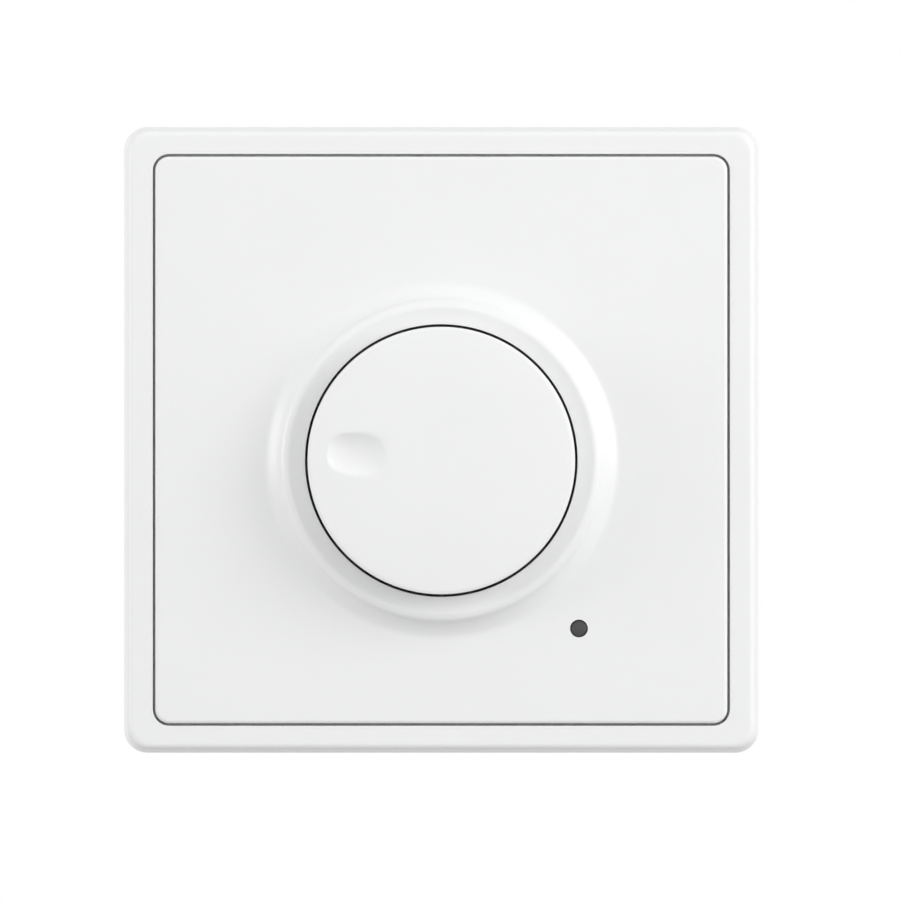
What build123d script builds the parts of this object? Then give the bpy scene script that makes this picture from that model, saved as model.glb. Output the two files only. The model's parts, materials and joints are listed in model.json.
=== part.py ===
from build123d import *
import os
from math import copysign, sqrt

# Flush rotary dimmer switch: the knob is pressed to switch and turned to dim.
# The wall is the plane y = 0, the room lies towards -Y and the wall box towards +Y.
# A height is a distance out of the wall towards the room, in millimetres.

# Frame, the outer surround
FRAME_WIDTH = 86.0
FRAME_HEIGHT = 84.8
FRAME_RISE = 9.6
FRAME_CORNER_R = 3.2
FRAME_SIDE_BORDER = 3.9
FRAME_HEAD_BORDER = 3.66
FRAME_DRAFT = 3.0
FRAME_EDGE = 0.5
FRAME_MOUTH_EDGE = 0.25
FRAME_WALL = 2.0
LEDGE_T = 1.6
RIB_T = 1.4
RIB_INSET = 0.6

# Centre plate with its collar and knob well
PLATE_GAP = 0.33
PLATE_CORNER_R = 1.9
PLATE_STEP = 0.3
PLATE_SKIN = 2.0
PLATE_RIM_DEPTH = 2.4
PLATE_RIM_WIDTH = 3.2
PLATE_EDGE = 0.45
ANNULUS_WIDTH = 2.75
ANNULUS_FALL = 0.35
COLLAR_RISE = 2.6
CREST_WIDTH = 0.75
CREST_FALL = 0.45
FLANK_WIDTH = 0.35
FLANK_FALL = 0.75
BAND_WIDTH = 1.7
WELL_WALL = 1.4
WELL_FLOOR_T = 1.6

# Knob
KNOB_Z = -2.8
KNOB_DIAMETER = 36.26
KNOB_GAP = 0.34
KNOB_RISE = 7.4
KNOB_BEVEL = 0.5
KNOB_WALL = 1.6
KNOB_FACE_T = 2.0
HUB_DIAMETER = 10.4
SKIRT_CLEARANCE = 0.9
HUB_CLEARANCE = 0.5
PUSH_TRAVEL = 1.5
DIMPLE_LENGTH = 7.9
DIMPLE_WIDTH = 5.7
DIMPLE_LIP_DEPTH = 0.45
DIMPLE_LIP_WIDTH = 0.7
DIMPLE_DEPTH = 0.8
DIMPLE_FLOOR_WIDTH = 1.9
DIMPLE_RADIUS = 11.6
DIMPLE_ANGLE = 175.6

# Indicator lens with its lamp
LENS_SIDE_INSET = 20.11
LENS_FOOT_INSET = 12.85
LENS_DIAMETER = 2.34
LENS_FIT = 0.05
LENS_FLANGE = 4.4
LENS_FLANGE_T = 0.8
LED_SIZE = 3.0
LED_LENGTH = 2.4
LEAD_PITCH = 1.6
LEAD_SIZE = 0.5
LEAD_LENGTH = 0.8

# Steel yoke with claws
YOKE_SIZE = 71.0
YOKE_T = 1.2
YOKE_CORNER_R = 4.0
YOKE_NOTCH_WIDTH = 9.0
YOKE_NOTCH_DEPTH = 1.4
YOKE_NOTCH_OFFSET = 20.0
BOX_SCREW_PITCH = 60.0
BOX_SLOT_WIDTH = 4.1
BOX_SLOT_LENGTH = 5.4
CLAW_SCREW_OFFSET = 2.0
CLAW_LEVER = 3.6
CLAW_PIVOT_DEPTH = 3.2
CLAW_WIDTH = 8.0
CLAW_T = 1.5
CLAW_EAR = 1.2
CLAW_EAR_FIT = 0.35
CLAW_SIDE_GAP = 0.2
CLAW_REACH = 17.0
CLAW_TOE = 4.5
CLAW_TIP_OUT = 2.4
CLAW_HOUSING_GAP = 0.4
CLAW_TOOTH = 0.9
CLAW_TEETH = 4
LUG_T = 1.2
LUG_R = 1.7
CLAW_SCREW_DIAMETER = 2.8
CLAW_HEAD_DIAMETER = 4.8
CLAW_HEAD_T = 1.6
THREAD_FIT = 0.05

# Housing and front cover
HOUSING_WIDTH = 38.0
HOUSING_HEIGHT = 54.0
HOUSING_CHAMFER = 8.0
HOUSING_WALL = 1.6
HOUSING_EDGE = 1.0
WINDOW_INSET = 2.5
COVER_INSET = 0.7
COVER_FLANGE_T = 2.2
SPIGOT_FIT = 0.15
HOOK_WIDTH = 5.0
HOOK_T = 1.4
HOOK_NOSE = 0.8
HOOK_HEAD = 1.2
HOOK_FIT = 0.15
HOOK_SPAN = 32.0
BOARD_LEDGE_WIDTH = 1.4
BOARD_LEDGE_LENGTH = 20.0
SOLDER_ROOM = 2.4
VENT_COUNT = 6
VENT_PITCH = 4.0
VENT_WIDTH = 1.5
VENT_LENGTH = 13.0
VENT_Z = -9.0

# Potentiometer with push switch
FLANGE_SIZE = 15.5
FLANGE_T = 1.2
BUSH_DIAMETER = 9.0
BUSH_FIT = 0.1
BUSH_PROUD = 0.9
NUT_FLATS = 12.0
NUT_T = 2.2
SHAFT_DIAMETER = 6.0
SHAFT_FIT = 0.04
SHAFT_FLAT = 1.7
SHAFT_END_GAP = 0.7
TAIL_DIAMETER = 4.8
TAIL_FLAT = 1.5
TAIL_LENGTH = 7.8
CLIP_T = 0.4
CLIP_WIDTH = 3.6
CLIP_FIT = 0.05
SHAFT_COLLAR_DIAMETER = 7.6
SHAFT_COLLAR_T = 0.6
SHAFT_COLLAR_GAP = 0.1
POT_DEPTH = 7.2
POT_WALL = 0.7
TRACK_T = 1.2
TRACK_BORE = 8.4
ROTOR_DIAMETER = 13.2
ROTOR_SHOULDER_GAP = 0.3
ROTOR_END_GAP = 0.1
WIPER_T = 0.3
WIPER_INNER_R = 4.4
WIPER_OUTER_R = 6.0
WIPER_LENGTH = 4.0
WIPER_TIP = 1.0
SWITCH_SIZE = 13.0
SWITCH_DEPTH = 10.0
SWITCH_WALL = 1.2
TAIL_HOLE = 5.4
PLUNGER_SIZE = 8.0
PLUNGER_T = 3.0
PLUNGER_GAP = 0.05
POST_SIZE = 2.2
POST_LENGTH = 2.0
BRIDGE_T = 0.4
BRIDGE_WIDTH = 3.0
CONTACT_T = 0.35
CONTACT_GAP = 0.05
CONTACT_OPEN = 0.6
SPRING_T = 0.3
SPRING_LENGTH = 8.0

# Circuit board and what it carries
BOARD_T = 1.6
BOARD_GAP = 0.3
BAY_GAP = 0.2
SINK_T = 1.5
SINK_LENGTH = 20.0
SINK_FLANGE = 4.5
SINK_Z = -1.5
TRIAC_WIDTH = 10.0
TRIAC_T = 4.4
TRIAC_LENGTH = 14.6
TRIAC_STAND = 1.2
TRIAC_Z = -1.0
LEG_PITCH = 2.54
LEG_SIZE = 0.7
SINK_CLIP_T = 0.6
SINK_CLIP_WIDTH = 6.0
SINK_CLIP_REACH = 8.0
CHOKE_LENGTH = 15.0
CHOKE_CORE = 4.0
CHOKE_CHEEK = 7.2
CHOKE_CHEEK_T = 1.4
CHOKE_COIL = 6.6
CHOKE_FIT = 0.05
CHOKE_Z = -1.0
SUPPRESSOR_LENGTH = 15.0
SUPPRESSOR_WIDTH = 7.5
SUPPRESSOR_HEIGHT = 13.0
SUPPRESSOR_X = -1.2
SUPPRESSOR_WALL_GAP = 3.15
TIMING_LENGTH = 7.2
TIMING_WIDTH = 3.5
TIMING_HEIGHT = 7.5
TIMING_INSET = 6.2
TIMING_Z = -11.8
CHIP_LENGTH = 3.2
CHIP_WIDTH = 1.6
CHIP_HEIGHT = 0.7
CHIP_PITCH = 2.6
CHIP_Z = -13.7
CHIP_COUNT = 4
DIAC_LENGTH = 3.8
DIAC_SIZE = 1.7
DIAC_INSET = 5.8
DIAC_GAP = 0.35

# Pillar terminals
TERMINAL_PITCH = 9.0
TERMINAL_WIDTH = 6.0
TERMINAL_HEIGHT = 8.0
TERMINAL_DEPTH = 10.0
TERMINAL_GAP = 0.3
TERMINAL_ROOM = 3.2
WIRE_BORE = 3.4
WIRE_BORE_DEPTH = 8.0
WIRE_BORE_DROP = 6.0
WIRE_ENTRY = 4.0
TERMINAL_SCREW_DIAMETER = 3.0
TERMINAL_SCREW_PROUD = 1.6
TERMINAL_TIP_GAP = 0.2
TAB_WIDTH = 1.8
TAB_T = 0.8
TAB_REACH = 2.5
BOARD_TERMINAL_GAP = 2.0
DRIVER_HOLE = 5.2

# Heights of the stacked pieces
PLATE_TOP = FRAME_RISE + PLATE_STEP
PLATE_REAR = PLATE_TOP - PLATE_SKIN
LENS_REAR = PLATE_REAR - LENS_FLANGE_T
LEDGE_TOP = PLATE_TOP - PLATE_RIM_DEPTH
LEDGE_REAR = LEDGE_TOP - LEDGE_T
COVER_TOP = YOKE_T + COVER_FLANGE_T
FLOOR_TOP = COVER_TOP + WELL_FLOOR_T
BUSH_TOP = FLOOR_TOP + NUT_T + BUSH_PROUD
KNOB_TOP = PLATE_TOP + KNOB_RISE
KNOB_FACE_REAR = KNOB_TOP - KNOB_FACE_T
SKIRT_BOTTOM = FLOOR_TOP + PUSH_TRAVEL + SKIRT_CLEARANCE
HUB_BOTTOM = BUSH_TOP + PUSH_TRAVEL + HUB_CLEARANCE
SHAFT_TOP = KNOB_FACE_REAR - SHAFT_END_GAP
FLANGE_REAR = -FLANGE_T
SHAFT_COLLAR_TOP = FLANGE_REAR - SHAFT_COLLAR_GAP
SHOULDER = SHAFT_COLLAR_TOP - SHAFT_COLLAR_T
TAIL_END = SHOULDER - TAIL_LENGTH
ROTOR_TOP = SHOULDER - PUSH_TRAVEL - ROTOR_SHOULDER_GAP
POT_REAR = FLANGE_REAR - POT_DEPTH
BOARD_TOP = POT_REAR - SWITCH_DEPTH
BOARD_REAR = BOARD_TOP - BOARD_T
HOUSING_FLOOR = BOARD_REAR - SOLDER_ROOM
HOUSING_REAR = HOUSING_FLOOR - HOUSING_WALL
PLUNGER_TOP = TAIL_END - PLUNGER_GAP
PLUNGER_REAR = PLUNGER_TOP - PLUNGER_T
BRIDGE_REAR = PLUNGER_REAR - BRIDGE_T

# Widths and places that follow from the sizes above
WINDOW_WIDTH = FRAME_WIDTH - 2 * FRAME_SIDE_BORDER
WINDOW_HEIGHT = FRAME_HEIGHT - 2 * FRAME_HEAD_BORDER
PLATE_WIDTH = WINDOW_WIDTH - 2 * PLATE_GAP
PLATE_HEIGHT = WINDOW_HEIGHT - 2 * PLATE_GAP
WINDOW_CORNER_R = PLATE_CORNER_R + PLATE_GAP
RIB_OUTER = YOKE_SIZE - 2 * RIB_INSET
RIB_INNER = RIB_OUTER - 2 * RIB_T
KNOB_R = KNOB_DIAMETER / 2
WELL_R = KNOB_R + KNOB_GAP
WELL_OUTER_R = WELL_R + WELL_WALL
COLLAR_CREST_R = WELL_R + ANNULUS_WIDTH
COLLAR_FLANK_R = COLLAR_CREST_R + CREST_WIDTH
COLLAR_BAND_R = COLLAR_FLANK_R + FLANK_WIDTH
COLLAR_BASE_R = COLLAR_BAND_R + BAND_WIDTH
INNER_HALF_WIDTH = HOUSING_WIDTH / 2 - HOUSING_WALL
INNER_HALF_HEIGHT = HOUSING_HEIGHT / 2 - HOUSING_WALL
CLAW_SCREW_X = HOUSING_WIDTH / 2 + CLAW_SCREW_OFFSET
CLAW_PIVOT_X = CLAW_SCREW_X + CLAW_LEVER
LENS_X = PLATE_WIDTH / 2 - LENS_SIDE_INSET
LENS_Z = LENS_FOOT_INSET - PLATE_HEIGHT / 2
HOOK_X = HOUSING_WIDTH / 2 - HOOK_T / 2
HOOK_PLACES = [(x, z) for x in (-HOOK_X, HOOK_X) for z in (-HOOK_SPAN / 2, HOOK_SPAN / 2)]
TERMINAL_TOP = INNER_HALF_HEIGHT - TERMINAL_ROOM
TERMINAL_BOTTOM = TERMINAL_TOP - TERMINAL_HEIGHT
TERMINAL_XS = (-TERMINAL_PITCH / 2, TERMINAL_PITCH / 2)
TERMINAL_MIDDLE = HOUSING_FLOOR + TERMINAL_DEPTH / 2
WIRE_Z = TERMINAL_TOP - WIRE_BORE_DROP
BOARD_TOP_Z = TERMINAL_BOTTOM - BOARD_TERMINAL_GAP
SINK_X = INNER_HALF_WIDTH - BAY_GAP
SINK_FACE_X = SINK_X - SINK_T
CHOKE_X = -(FLANGE_SIZE / 2 + INNER_HALF_WIDTH) / 2
TIMING_X = INNER_HALF_WIDTH - TIMING_INSET
DIAC_X = INNER_HALF_WIDTH - DIAC_INSET
DIAC_Z = SINK_Z + SINK_LENGTH / 2 - SINK_T - DIAC_GAP - DIAC_SIZE / 2
SUPPRESSOR_Z = SUPPRESSOR_WALL_GAP + SUPPRESSOR_WIDTH / 2 - INNER_HALF_HEIGHT


def front(height):
    """Plane parallel to the wall at a height, drawn as seen from the room."""
    return Plane.XZ.offset(height)


def knob_front(height):
    """The same plane, centred on the knob's axis."""
    return Plane(origin=(0, -height, KNOB_Z), x_dir=(1, 0, 0), z_dir=(0, -1, 0))


def section(z):
    """Level plane, drawn as distance to the right and height out of the wall."""
    return Plane(origin=(0, 0, z), x_dir=(1, 0, 0), z_dir=(0, 0, -1))


KNOB_AXIS = Axis((0, 0, KNOB_Z), (0, -1, 0))


def housing_outline(inset):
    """Chamfered rectangle of the housing, drawn in by inset on every side."""
    Rectangle(HOUSING_WIDTH - 2 * inset, HOUSING_HEIGHT - 2 * inset)
    chamfer(vertices(), HOUSING_CHAMFER - inset * (2 - sqrt(2)))


def d_outline(diameter, flat):
    """Circle cut by a flat that lies above its centre."""
    Circle(diameter / 2)
    with Locations((0, flat - diameter)):
        Rectangle(2 * diameter, 2 * diameter, mode=Mode.INTERSECT)


def save(piece, name):
    """Label a finished piece and write it to its own file."""
    piece.label = name
    export_step(piece, f"parts/{name}.step")


os.makedirs("parts", exist_ok=True)

# Frame: drafted square surround with a ledge for the plate and a rib that stands on the yoke
with BuildPart() as frame:
    with BuildSketch(front(0)):
        RectangleRounded(FRAME_WIDTH, FRAME_HEIGHT, FRAME_CORNER_R)
    extrude(amount=FRAME_RISE, taper=FRAME_DRAFT)
    chamfer(frame.faces().sort_by(Axis.Y)[0].outer_wire().edges(), FRAME_EDGE)
    with BuildSketch(front(LEDGE_TOP)):
        RectangleRounded(WINDOW_WIDTH, WINDOW_HEIGHT, WINDOW_CORNER_R)
    extrude(amount=FRAME_RISE - LEDGE_TOP, mode=Mode.SUBTRACT)
    chamfer(frame.faces().sort_by(Axis.Y)[0].inner_wires()[0].edges(), FRAME_MOUTH_EDGE)
    with BuildSketch(front(0)):
        RectangleRounded(FRAME_WIDTH - 2 * FRAME_WALL, FRAME_HEIGHT - 2 * FRAME_WALL, FRAME_CORNER_R)
    extrude(amount=LEDGE_REAR, mode=Mode.SUBTRACT)
    with BuildSketch(front(YOKE_T)):
        RectangleRounded(RIB_OUTER, RIB_OUTER, YOKE_CORNER_R)
    extrude(amount=LEDGE_REAR - YOKE_T)
    with BuildSketch(front(YOKE_T)):
        RectangleRounded(RIB_INNER, RIB_INNER, YOKE_CORNER_R - RIB_T)
    extrude(amount=LEDGE_TOP - YOKE_T, mode=Mode.SUBTRACT)
save(frame.part, "frame")

# Centre plate: thin square skin with a rim, a raised collar and the well that the knob sinks into
with BuildPart() as centre_plate:
    with BuildSketch(front(LEDGE_TOP)):
        RectangleRounded(PLATE_WIDTH, PLATE_HEIGHT, PLATE_CORNER_R)
    extrude(amount=PLATE_RIM_DEPTH)
    chamfer(centre_plate.faces().sort_by(Axis.Y)[0].edges(), PLATE_EDGE)
    with BuildSketch(front(LEDGE_TOP)):
        Rectangle(PLATE_WIDTH - 2 * PLATE_RIM_WIDTH, PLATE_HEIGHT - 2 * PLATE_RIM_WIDTH)
    extrude(amount=PLATE_REAR - LEDGE_TOP, mode=Mode.SUBTRACT)
    with BuildSketch(knob_front(PLATE_REAR)):
        Circle(WELL_OUTER_R)
    extrude(amount=PLATE_SKIN, mode=Mode.SUBTRACT)
    collar_top = PLATE_TOP + COLLAR_RISE
    with BuildSketch(section(KNOB_Z)):
        with BuildLine():
            Polyline(
                (BUSH_DIAMETER / 2 + BUSH_FIT, COVER_TOP),
                (BUSH_DIAMETER / 2 + BUSH_FIT, FLOOR_TOP),
                (WELL_R, FLOOR_TOP),
                (WELL_R, collar_top - ANNULUS_FALL),
                (COLLAR_CREST_R, collar_top),
                (COLLAR_FLANK_R, collar_top - CREST_FALL),
                (COLLAR_BAND_R, collar_top - CREST_FALL - FLANK_FALL),
                (COLLAR_BASE_R, PLATE_TOP),
                (COLLAR_BASE_R, PLATE_REAR),
                (WELL_OUTER_R, PLATE_REAR),
                (WELL_OUTER_R, COVER_TOP),
                close=True,
            )
        make_face()
    revolve(axis=KNOB_AXIS)
    with BuildSketch(front(PLATE_REAR)):
        with Locations((LENS_X, LENS_Z)):
            Circle(LENS_DIAMETER / 2 + LENS_FIT)
    extrude(amount=PLATE_SKIN, mode=Mode.SUBTRACT)
save(centre_plate.part, "centre_plate")

# Knob: bevelled cup with a shaft hub and a finger dimple
with BuildPart() as knob:
    with BuildSketch(section(KNOB_Z)):
        with BuildLine():
            Polyline(
                (0, KNOB_TOP),
                (KNOB_R - KNOB_BEVEL, KNOB_TOP),
                (KNOB_R, KNOB_TOP - KNOB_BEVEL),
                (KNOB_R, SKIRT_BOTTOM),
                (KNOB_R - KNOB_WALL, SKIRT_BOTTOM),
                (KNOB_R - KNOB_WALL, KNOB_FACE_REAR),
                (HUB_DIAMETER / 2, KNOB_FACE_REAR),
                (HUB_DIAMETER / 2, HUB_BOTTOM),
                (0, HUB_BOTTOM),
                close=True,
            )
        make_face()
    revolve(axis=KNOB_AXIS)
    with BuildSketch(knob_front(HUB_BOTTOM)):
        d_outline(SHAFT_DIAMETER + 2 * SHAFT_FIT, SHAFT_FLAT + CLIP_T + 2 * CLIP_FIT)
    extrude(amount=KNOB_FACE_REAR - HUB_BOTTOM, mode=Mode.SUBTRACT)
    for depth, inset in (
        (0, 0),
        (DIMPLE_LIP_DEPTH, DIMPLE_LIP_WIDTH),
        (DIMPLE_DEPTH, (DIMPLE_WIDTH - DIMPLE_FLOOR_WIDTH) / 2),
    ):
        with BuildSketch(knob_front(KNOB_TOP - depth)):
            with PolarLocations(DIMPLE_RADIUS, 1, DIMPLE_ANGLE):
                SlotOverall(DIMPLE_LENGTH - 2 * inset, DIMPLE_WIDTH - 2 * inset)
    loft(ruled=True, mode=Mode.SUBTRACT)
save(knob.part, "knob")

# Indicator lens: smoked button in the plate, with a flange behind it
with BuildPart() as indicator_lens:
    with BuildSketch(front(LENS_REAR)):
        with Locations((LENS_X, LENS_Z)):
            Rectangle(LENS_FLANGE, LENS_FLANGE)
    extrude(amount=LENS_FLANGE_T)
    with BuildSketch(front(PLATE_REAR)):
        with Locations((LENS_X, LENS_Z)):
            Circle(LENS_DIAMETER / 2)
    extrude(amount=PLATE_SKIN)
save(indicator_lens.part, "indicator_lens")

# Indicator lamp on the lens flange, with the ends of its leads
with BuildPart() as led:
    with BuildSketch(front(LENS_REAR - LED_LENGTH)):
        with Locations((LENS_X, LENS_Z)):
            Rectangle(LED_SIZE, LED_SIZE)
    extrude(amount=LED_LENGTH)
    with BuildSketch(front(LENS_REAR - LED_LENGTH - LEAD_LENGTH)):
        with Locations((LENS_X, LENS_Z)):
            with GridLocations(LEAD_PITCH, 0, 2, 1):
                Rectangle(LEAD_SIZE, LEAD_SIZE)
    extrude(amount=LEAD_LENGTH)
save(led.part, "led")

# Yoke: stamped plate with box-screw slots, notches, claw screw threads and bent claw lugs
with BuildPart() as yoke:
    with BuildSketch(front(0)):
        RectangleRounded(YOKE_SIZE, YOKE_SIZE, YOKE_CORNER_R)
        for turn in range(4):
            with Locations(Location((0, 0, 0), (0, 0, 90 * turn))):
                with Locations((YOKE_SIZE / 2, -YOKE_NOTCH_OFFSET), (YOKE_SIZE / 2, YOKE_NOTCH_OFFSET)):
                    Rectangle(2 * YOKE_NOTCH_DEPTH, YOKE_NOTCH_WIDTH, mode=Mode.SUBTRACT)
                with Locations((BOX_SCREW_PITCH / 2, 0)):
                    SlotOverall(BOX_SLOT_LENGTH, BOX_SLOT_WIDTH, mode=Mode.SUBTRACT)
        with Locations((-CLAW_SCREW_X, 0), (CLAW_SCREW_X, 0)):
            Circle(CLAW_SCREW_DIAMETER / 2 + THREAD_FIT, mode=Mode.SUBTRACT)
        with Locations(*HOOK_PLACES):
            Rectangle(HOOK_T + 2 * HOOK_FIT, HOOK_WIDTH + 2 * HOOK_FIT, mode=Mode.SUBTRACT)
    extrude(amount=YOKE_T)
    with BuildSketch(front(0)):
        housing_outline(WINDOW_INSET)
    extrude(amount=YOKE_T, mode=Mode.SUBTRACT)
    for z in (CLAW_WIDTH / 2 + CLAW_SIDE_GAP + LUG_T, -CLAW_WIDTH / 2 - CLAW_SIDE_GAP):
        for x in (-CLAW_PIVOT_X, CLAW_PIVOT_X):
            with BuildSketch(section(z)):
                with Locations((x, (YOKE_T - CLAW_PIVOT_DEPTH - LUG_R) / 2)):
                    Rectangle(2 * LUG_R, YOKE_T + CLAW_PIVOT_DEPTH + LUG_R)
                with Locations((x, -CLAW_PIVOT_DEPTH)):
                    Rectangle(CLAW_EAR + 2 * CLAW_EAR_FIT, CLAW_EAR + 2 * CLAW_EAR_FIT, mode=Mode.SUBTRACT)
            extrude(amount=LUG_T)
save(yoke.part, "yoke")


def make_claw(side):
    """Bent claw strip with ears that pivot in the lugs, a short arm under its screw and a toothed end."""
    arm_x = HOUSING_WIDTH / 2 + CLAW_HOUSING_GAP
    top = -CLAW_PIVOT_DEPTH + CLAW_T / 2
    tip = -CLAW_PIVOT_DEPTH - CLAW_REACH
    tip_x = CLAW_PIVOT_X + CLAW_TIP_OUT
    knee_x = CLAW_PIVOT_X - CLAW_T
    pivot_x = side * CLAW_PIVOT_X
    outline = [
        (arm_x, top),
        (CLAW_PIVOT_X + CLAW_T / 2, top),
        (knee_x + CLAW_T / 2, tip + CLAW_TOE),
        (tip_x, tip + CLAW_T),
        (tip_x, tip),
        (knee_x - CLAW_T / 2, tip + CLAW_TOE - CLAW_T / 2),
        (CLAW_PIVOT_X - CLAW_T / 2, top - CLAW_T),
        (arm_x, top - CLAW_T),
    ]
    with BuildPart() as claw:
        with BuildSketch(section(-CLAW_WIDTH / 2)):
            with BuildLine():
                Polyline(*[(side * x, height) for x, height in outline], close=True)
            make_face()
        extrude(amount=-CLAW_WIDTH)
        with BuildSketch(section(-CLAW_WIDTH / 2 - CLAW_SIDE_GAP - LUG_T)):
            with Locations((pivot_x, -CLAW_PIVOT_DEPTH)):
                Rectangle(CLAW_EAR, CLAW_EAR)
        extrude(amount=-CLAW_WIDTH - 2 * CLAW_SIDE_GAP - 2 * LUG_T)
        with BuildSketch(front(tip)):
            for place in range(1, CLAW_TEETH):
                z = (place / CLAW_TEETH - 0.5) * CLAW_WIDTH
                with BuildLine():
                    Polyline(
                        (side * (tip_x - 2 * CLAW_TOOTH), z),
                        (side * tip_x, z + CLAW_TOOTH),
                        (side * tip_x, z - CLAW_TOOTH),
                        close=True,
                    )
                make_face()
        extrude(amount=CLAW_TOE, mode=Mode.SUBTRACT)
    return claw.part


save(make_claw(-1), "claw_left")
save(make_claw(1), "claw_right")

# Claw screws: flat heads on the yoke, tips on the claws' short arms
with BuildPart() as claw_screws:
    screw_end = -CLAW_PIVOT_DEPTH + CLAW_T / 2
    for x in (-CLAW_SCREW_X, CLAW_SCREW_X):
        with BuildSketch(front(YOKE_T)):
            with Locations((x, 0)):
                Circle(CLAW_HEAD_DIAMETER / 2)
        extrude(amount=CLAW_HEAD_T)
        with BuildSketch(front(screw_end)):
            with Locations((x, 0)):
                Circle(CLAW_SCREW_DIAMETER / 2)
        extrude(amount=YOKE_T - screw_end)
save(claw_screws.part, "claw_screws")

# Front cover: closes the housing, its spigot fills the yoke's window
with BuildPart() as front_cover:
    with BuildSketch(front(YOKE_T)):
        housing_outline(COVER_INSET)
    extrude(amount=COVER_FLANGE_T)
    with BuildSketch(front(0)):
        housing_outline(WINDOW_INSET + SPIGOT_FIT)
    extrude(amount=YOKE_T)
    with BuildSketch(front(0)):
        with Locations((0, KNOB_Z)):
            Circle(BUSH_DIAMETER / 2 + BUSH_FIT)
        with Locations(*HOOK_PLACES):
            Rectangle(HOOK_T + 2 * HOOK_NOSE + 2 * HOOK_FIT, HOOK_WIDTH + 2 * HOOK_FIT)
    extrude(amount=COVER_TOP, mode=Mode.SUBTRACT)
save(front_cover.part, "front_cover")

# Housing: rear box with hooks through the yoke, board ledges, terminal bays, wire entries and vents
with BuildPart() as housing:
    with BuildSketch(front(HOUSING_REAR)):
        housing_outline(0)
    extrude(amount=-HOUSING_REAR)
    chamfer(housing.faces().sort_by(Axis.Y)[-1].edges(), HOUSING_EDGE)
    with BuildSketch(front(HOUSING_FLOOR)):
        housing_outline(HOUSING_WALL)
    extrude(amount=-HOUSING_FLOOR, mode=Mode.SUBTRACT)
    with BuildSketch(front(0)):
        with Locations(*HOOK_PLACES):
            Rectangle(HOOK_T, HOOK_WIDTH)
    extrude(amount=YOKE_T + HOOK_HEAD)
    with BuildSketch(front(YOKE_T)):
        with Locations(*[(x + copysign(HOOK_NOSE / 2, x), z) for x, z in HOOK_PLACES]):
            Rectangle(HOOK_T + HOOK_NOSE, HOOK_WIDTH)
    extrude(amount=HOOK_HEAD)
    with BuildSketch(front(HOUSING_FLOOR)):
        for x in (-INNER_HALF_WIDTH, INNER_HALF_WIDTH):
            with Locations((x, CHOKE_Z)):
                Rectangle(2 * BOARD_LEDGE_WIDTH, BOARD_LEDGE_LENGTH)
    extrude(amount=SOLDER_ROOM)
    bay_wall = TERMINAL_PITCH - TERMINAL_WIDTH - 2 * TERMINAL_GAP
    bay_length = INNER_HALF_HEIGHT - TERMINAL_BOTTOM + HOUSING_WALL / 2
    with BuildSketch(front(HOUSING_FLOOR)):
        for place in range(len(TERMINAL_XS) + 1):
            rib_x = (place - len(TERMINAL_XS) / 2) * TERMINAL_PITCH
            with Locations((rib_x, TERMINAL_BOTTOM + bay_length / 2)):
                Rectangle(bay_wall, bay_length)
    extrude(amount=TERMINAL_DEPTH)
    with BuildSketch(front(HOUSING_REAR)):
        with Locations(*[(x, WIRE_Z) for x in TERMINAL_XS]):
            Circle(WIRE_ENTRY / 2)
        with Locations((0, VENT_Z)):
            with GridLocations(VENT_PITCH, 0, VENT_COUNT, 1):
                Rectangle(VENT_WIDTH, VENT_LENGTH)
    extrude(amount=HOUSING_WALL, mode=Mode.SUBTRACT)
    with BuildSketch(Plane.XY.offset(INNER_HALF_HEIGHT)):
        with Locations(*[(x, -TERMINAL_MIDDLE) for x in TERMINAL_XS]):
            Rectangle(DRIVER_HOLE, DRIVER_HOLE)
    extrude(amount=HOUSING_WALL, mode=Mode.SUBTRACT)
save(housing.part, "housing")

# Bush: square flange behind the cover and a threaded barrel through the cover and the well floor
with BuildPart() as pot_bushing:
    with BuildSketch(knob_front(FLANGE_REAR)):
        Rectangle(FLANGE_SIZE, FLANGE_SIZE)
    extrude(amount=FLANGE_T)
    with BuildSketch(knob_front(0)):
        Circle(BUSH_DIAMETER / 2)
    extrude(amount=BUSH_TOP)
    with BuildSketch(knob_front(FLANGE_REAR)):
        Circle(SHAFT_DIAMETER / 2 + SHAFT_FIT)
    extrude(amount=BUSH_TOP - FLANGE_REAR, mode=Mode.SUBTRACT)
save(pot_bushing.part, "pot_bushing")

# Nut that clamps the centre plate's well floor on the bush
with BuildPart() as bush_nut:
    with BuildSketch(knob_front(FLOOR_TOP)):
        RegularPolygon(NUT_FLATS / 2, 6, major_radius=False)
        Circle(BUSH_DIAMETER / 2 + THREAD_FIT, mode=Mode.SUBTRACT)
    extrude(amount=NUT_T)
save(bush_nut.part, "bush_nut")

# Shaft: round with a flat at the knob, a collar behind the bush and a flat tail for the rotor
with BuildPart() as pot_shaft:
    with BuildSketch(knob_front(SHAFT_COLLAR_TOP)):
        Circle(SHAFT_DIAMETER / 2)
    extrude(amount=SHAFT_TOP - SHAFT_COLLAR_TOP)
    with BuildSketch(knob_front(HUB_BOTTOM)):
        with Locations((0, SHAFT_FLAT + SHAFT_DIAMETER / 2)):
            Rectangle(SHAFT_DIAMETER, SHAFT_DIAMETER)
    extrude(amount=SHAFT_TOP - HUB_BOTTOM, mode=Mode.SUBTRACT)
    with BuildSketch(knob_front(SHOULDER)):
        Circle(SHAFT_COLLAR_DIAMETER / 2)
    extrude(amount=SHAFT_COLLAR_T)
    with BuildSketch(knob_front(TAIL_END)):
        d_outline(TAIL_DIAMETER, TAIL_FLAT)
    extrude(amount=TAIL_LENGTH)
save(pot_shaft.part, "pot_shaft")

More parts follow.
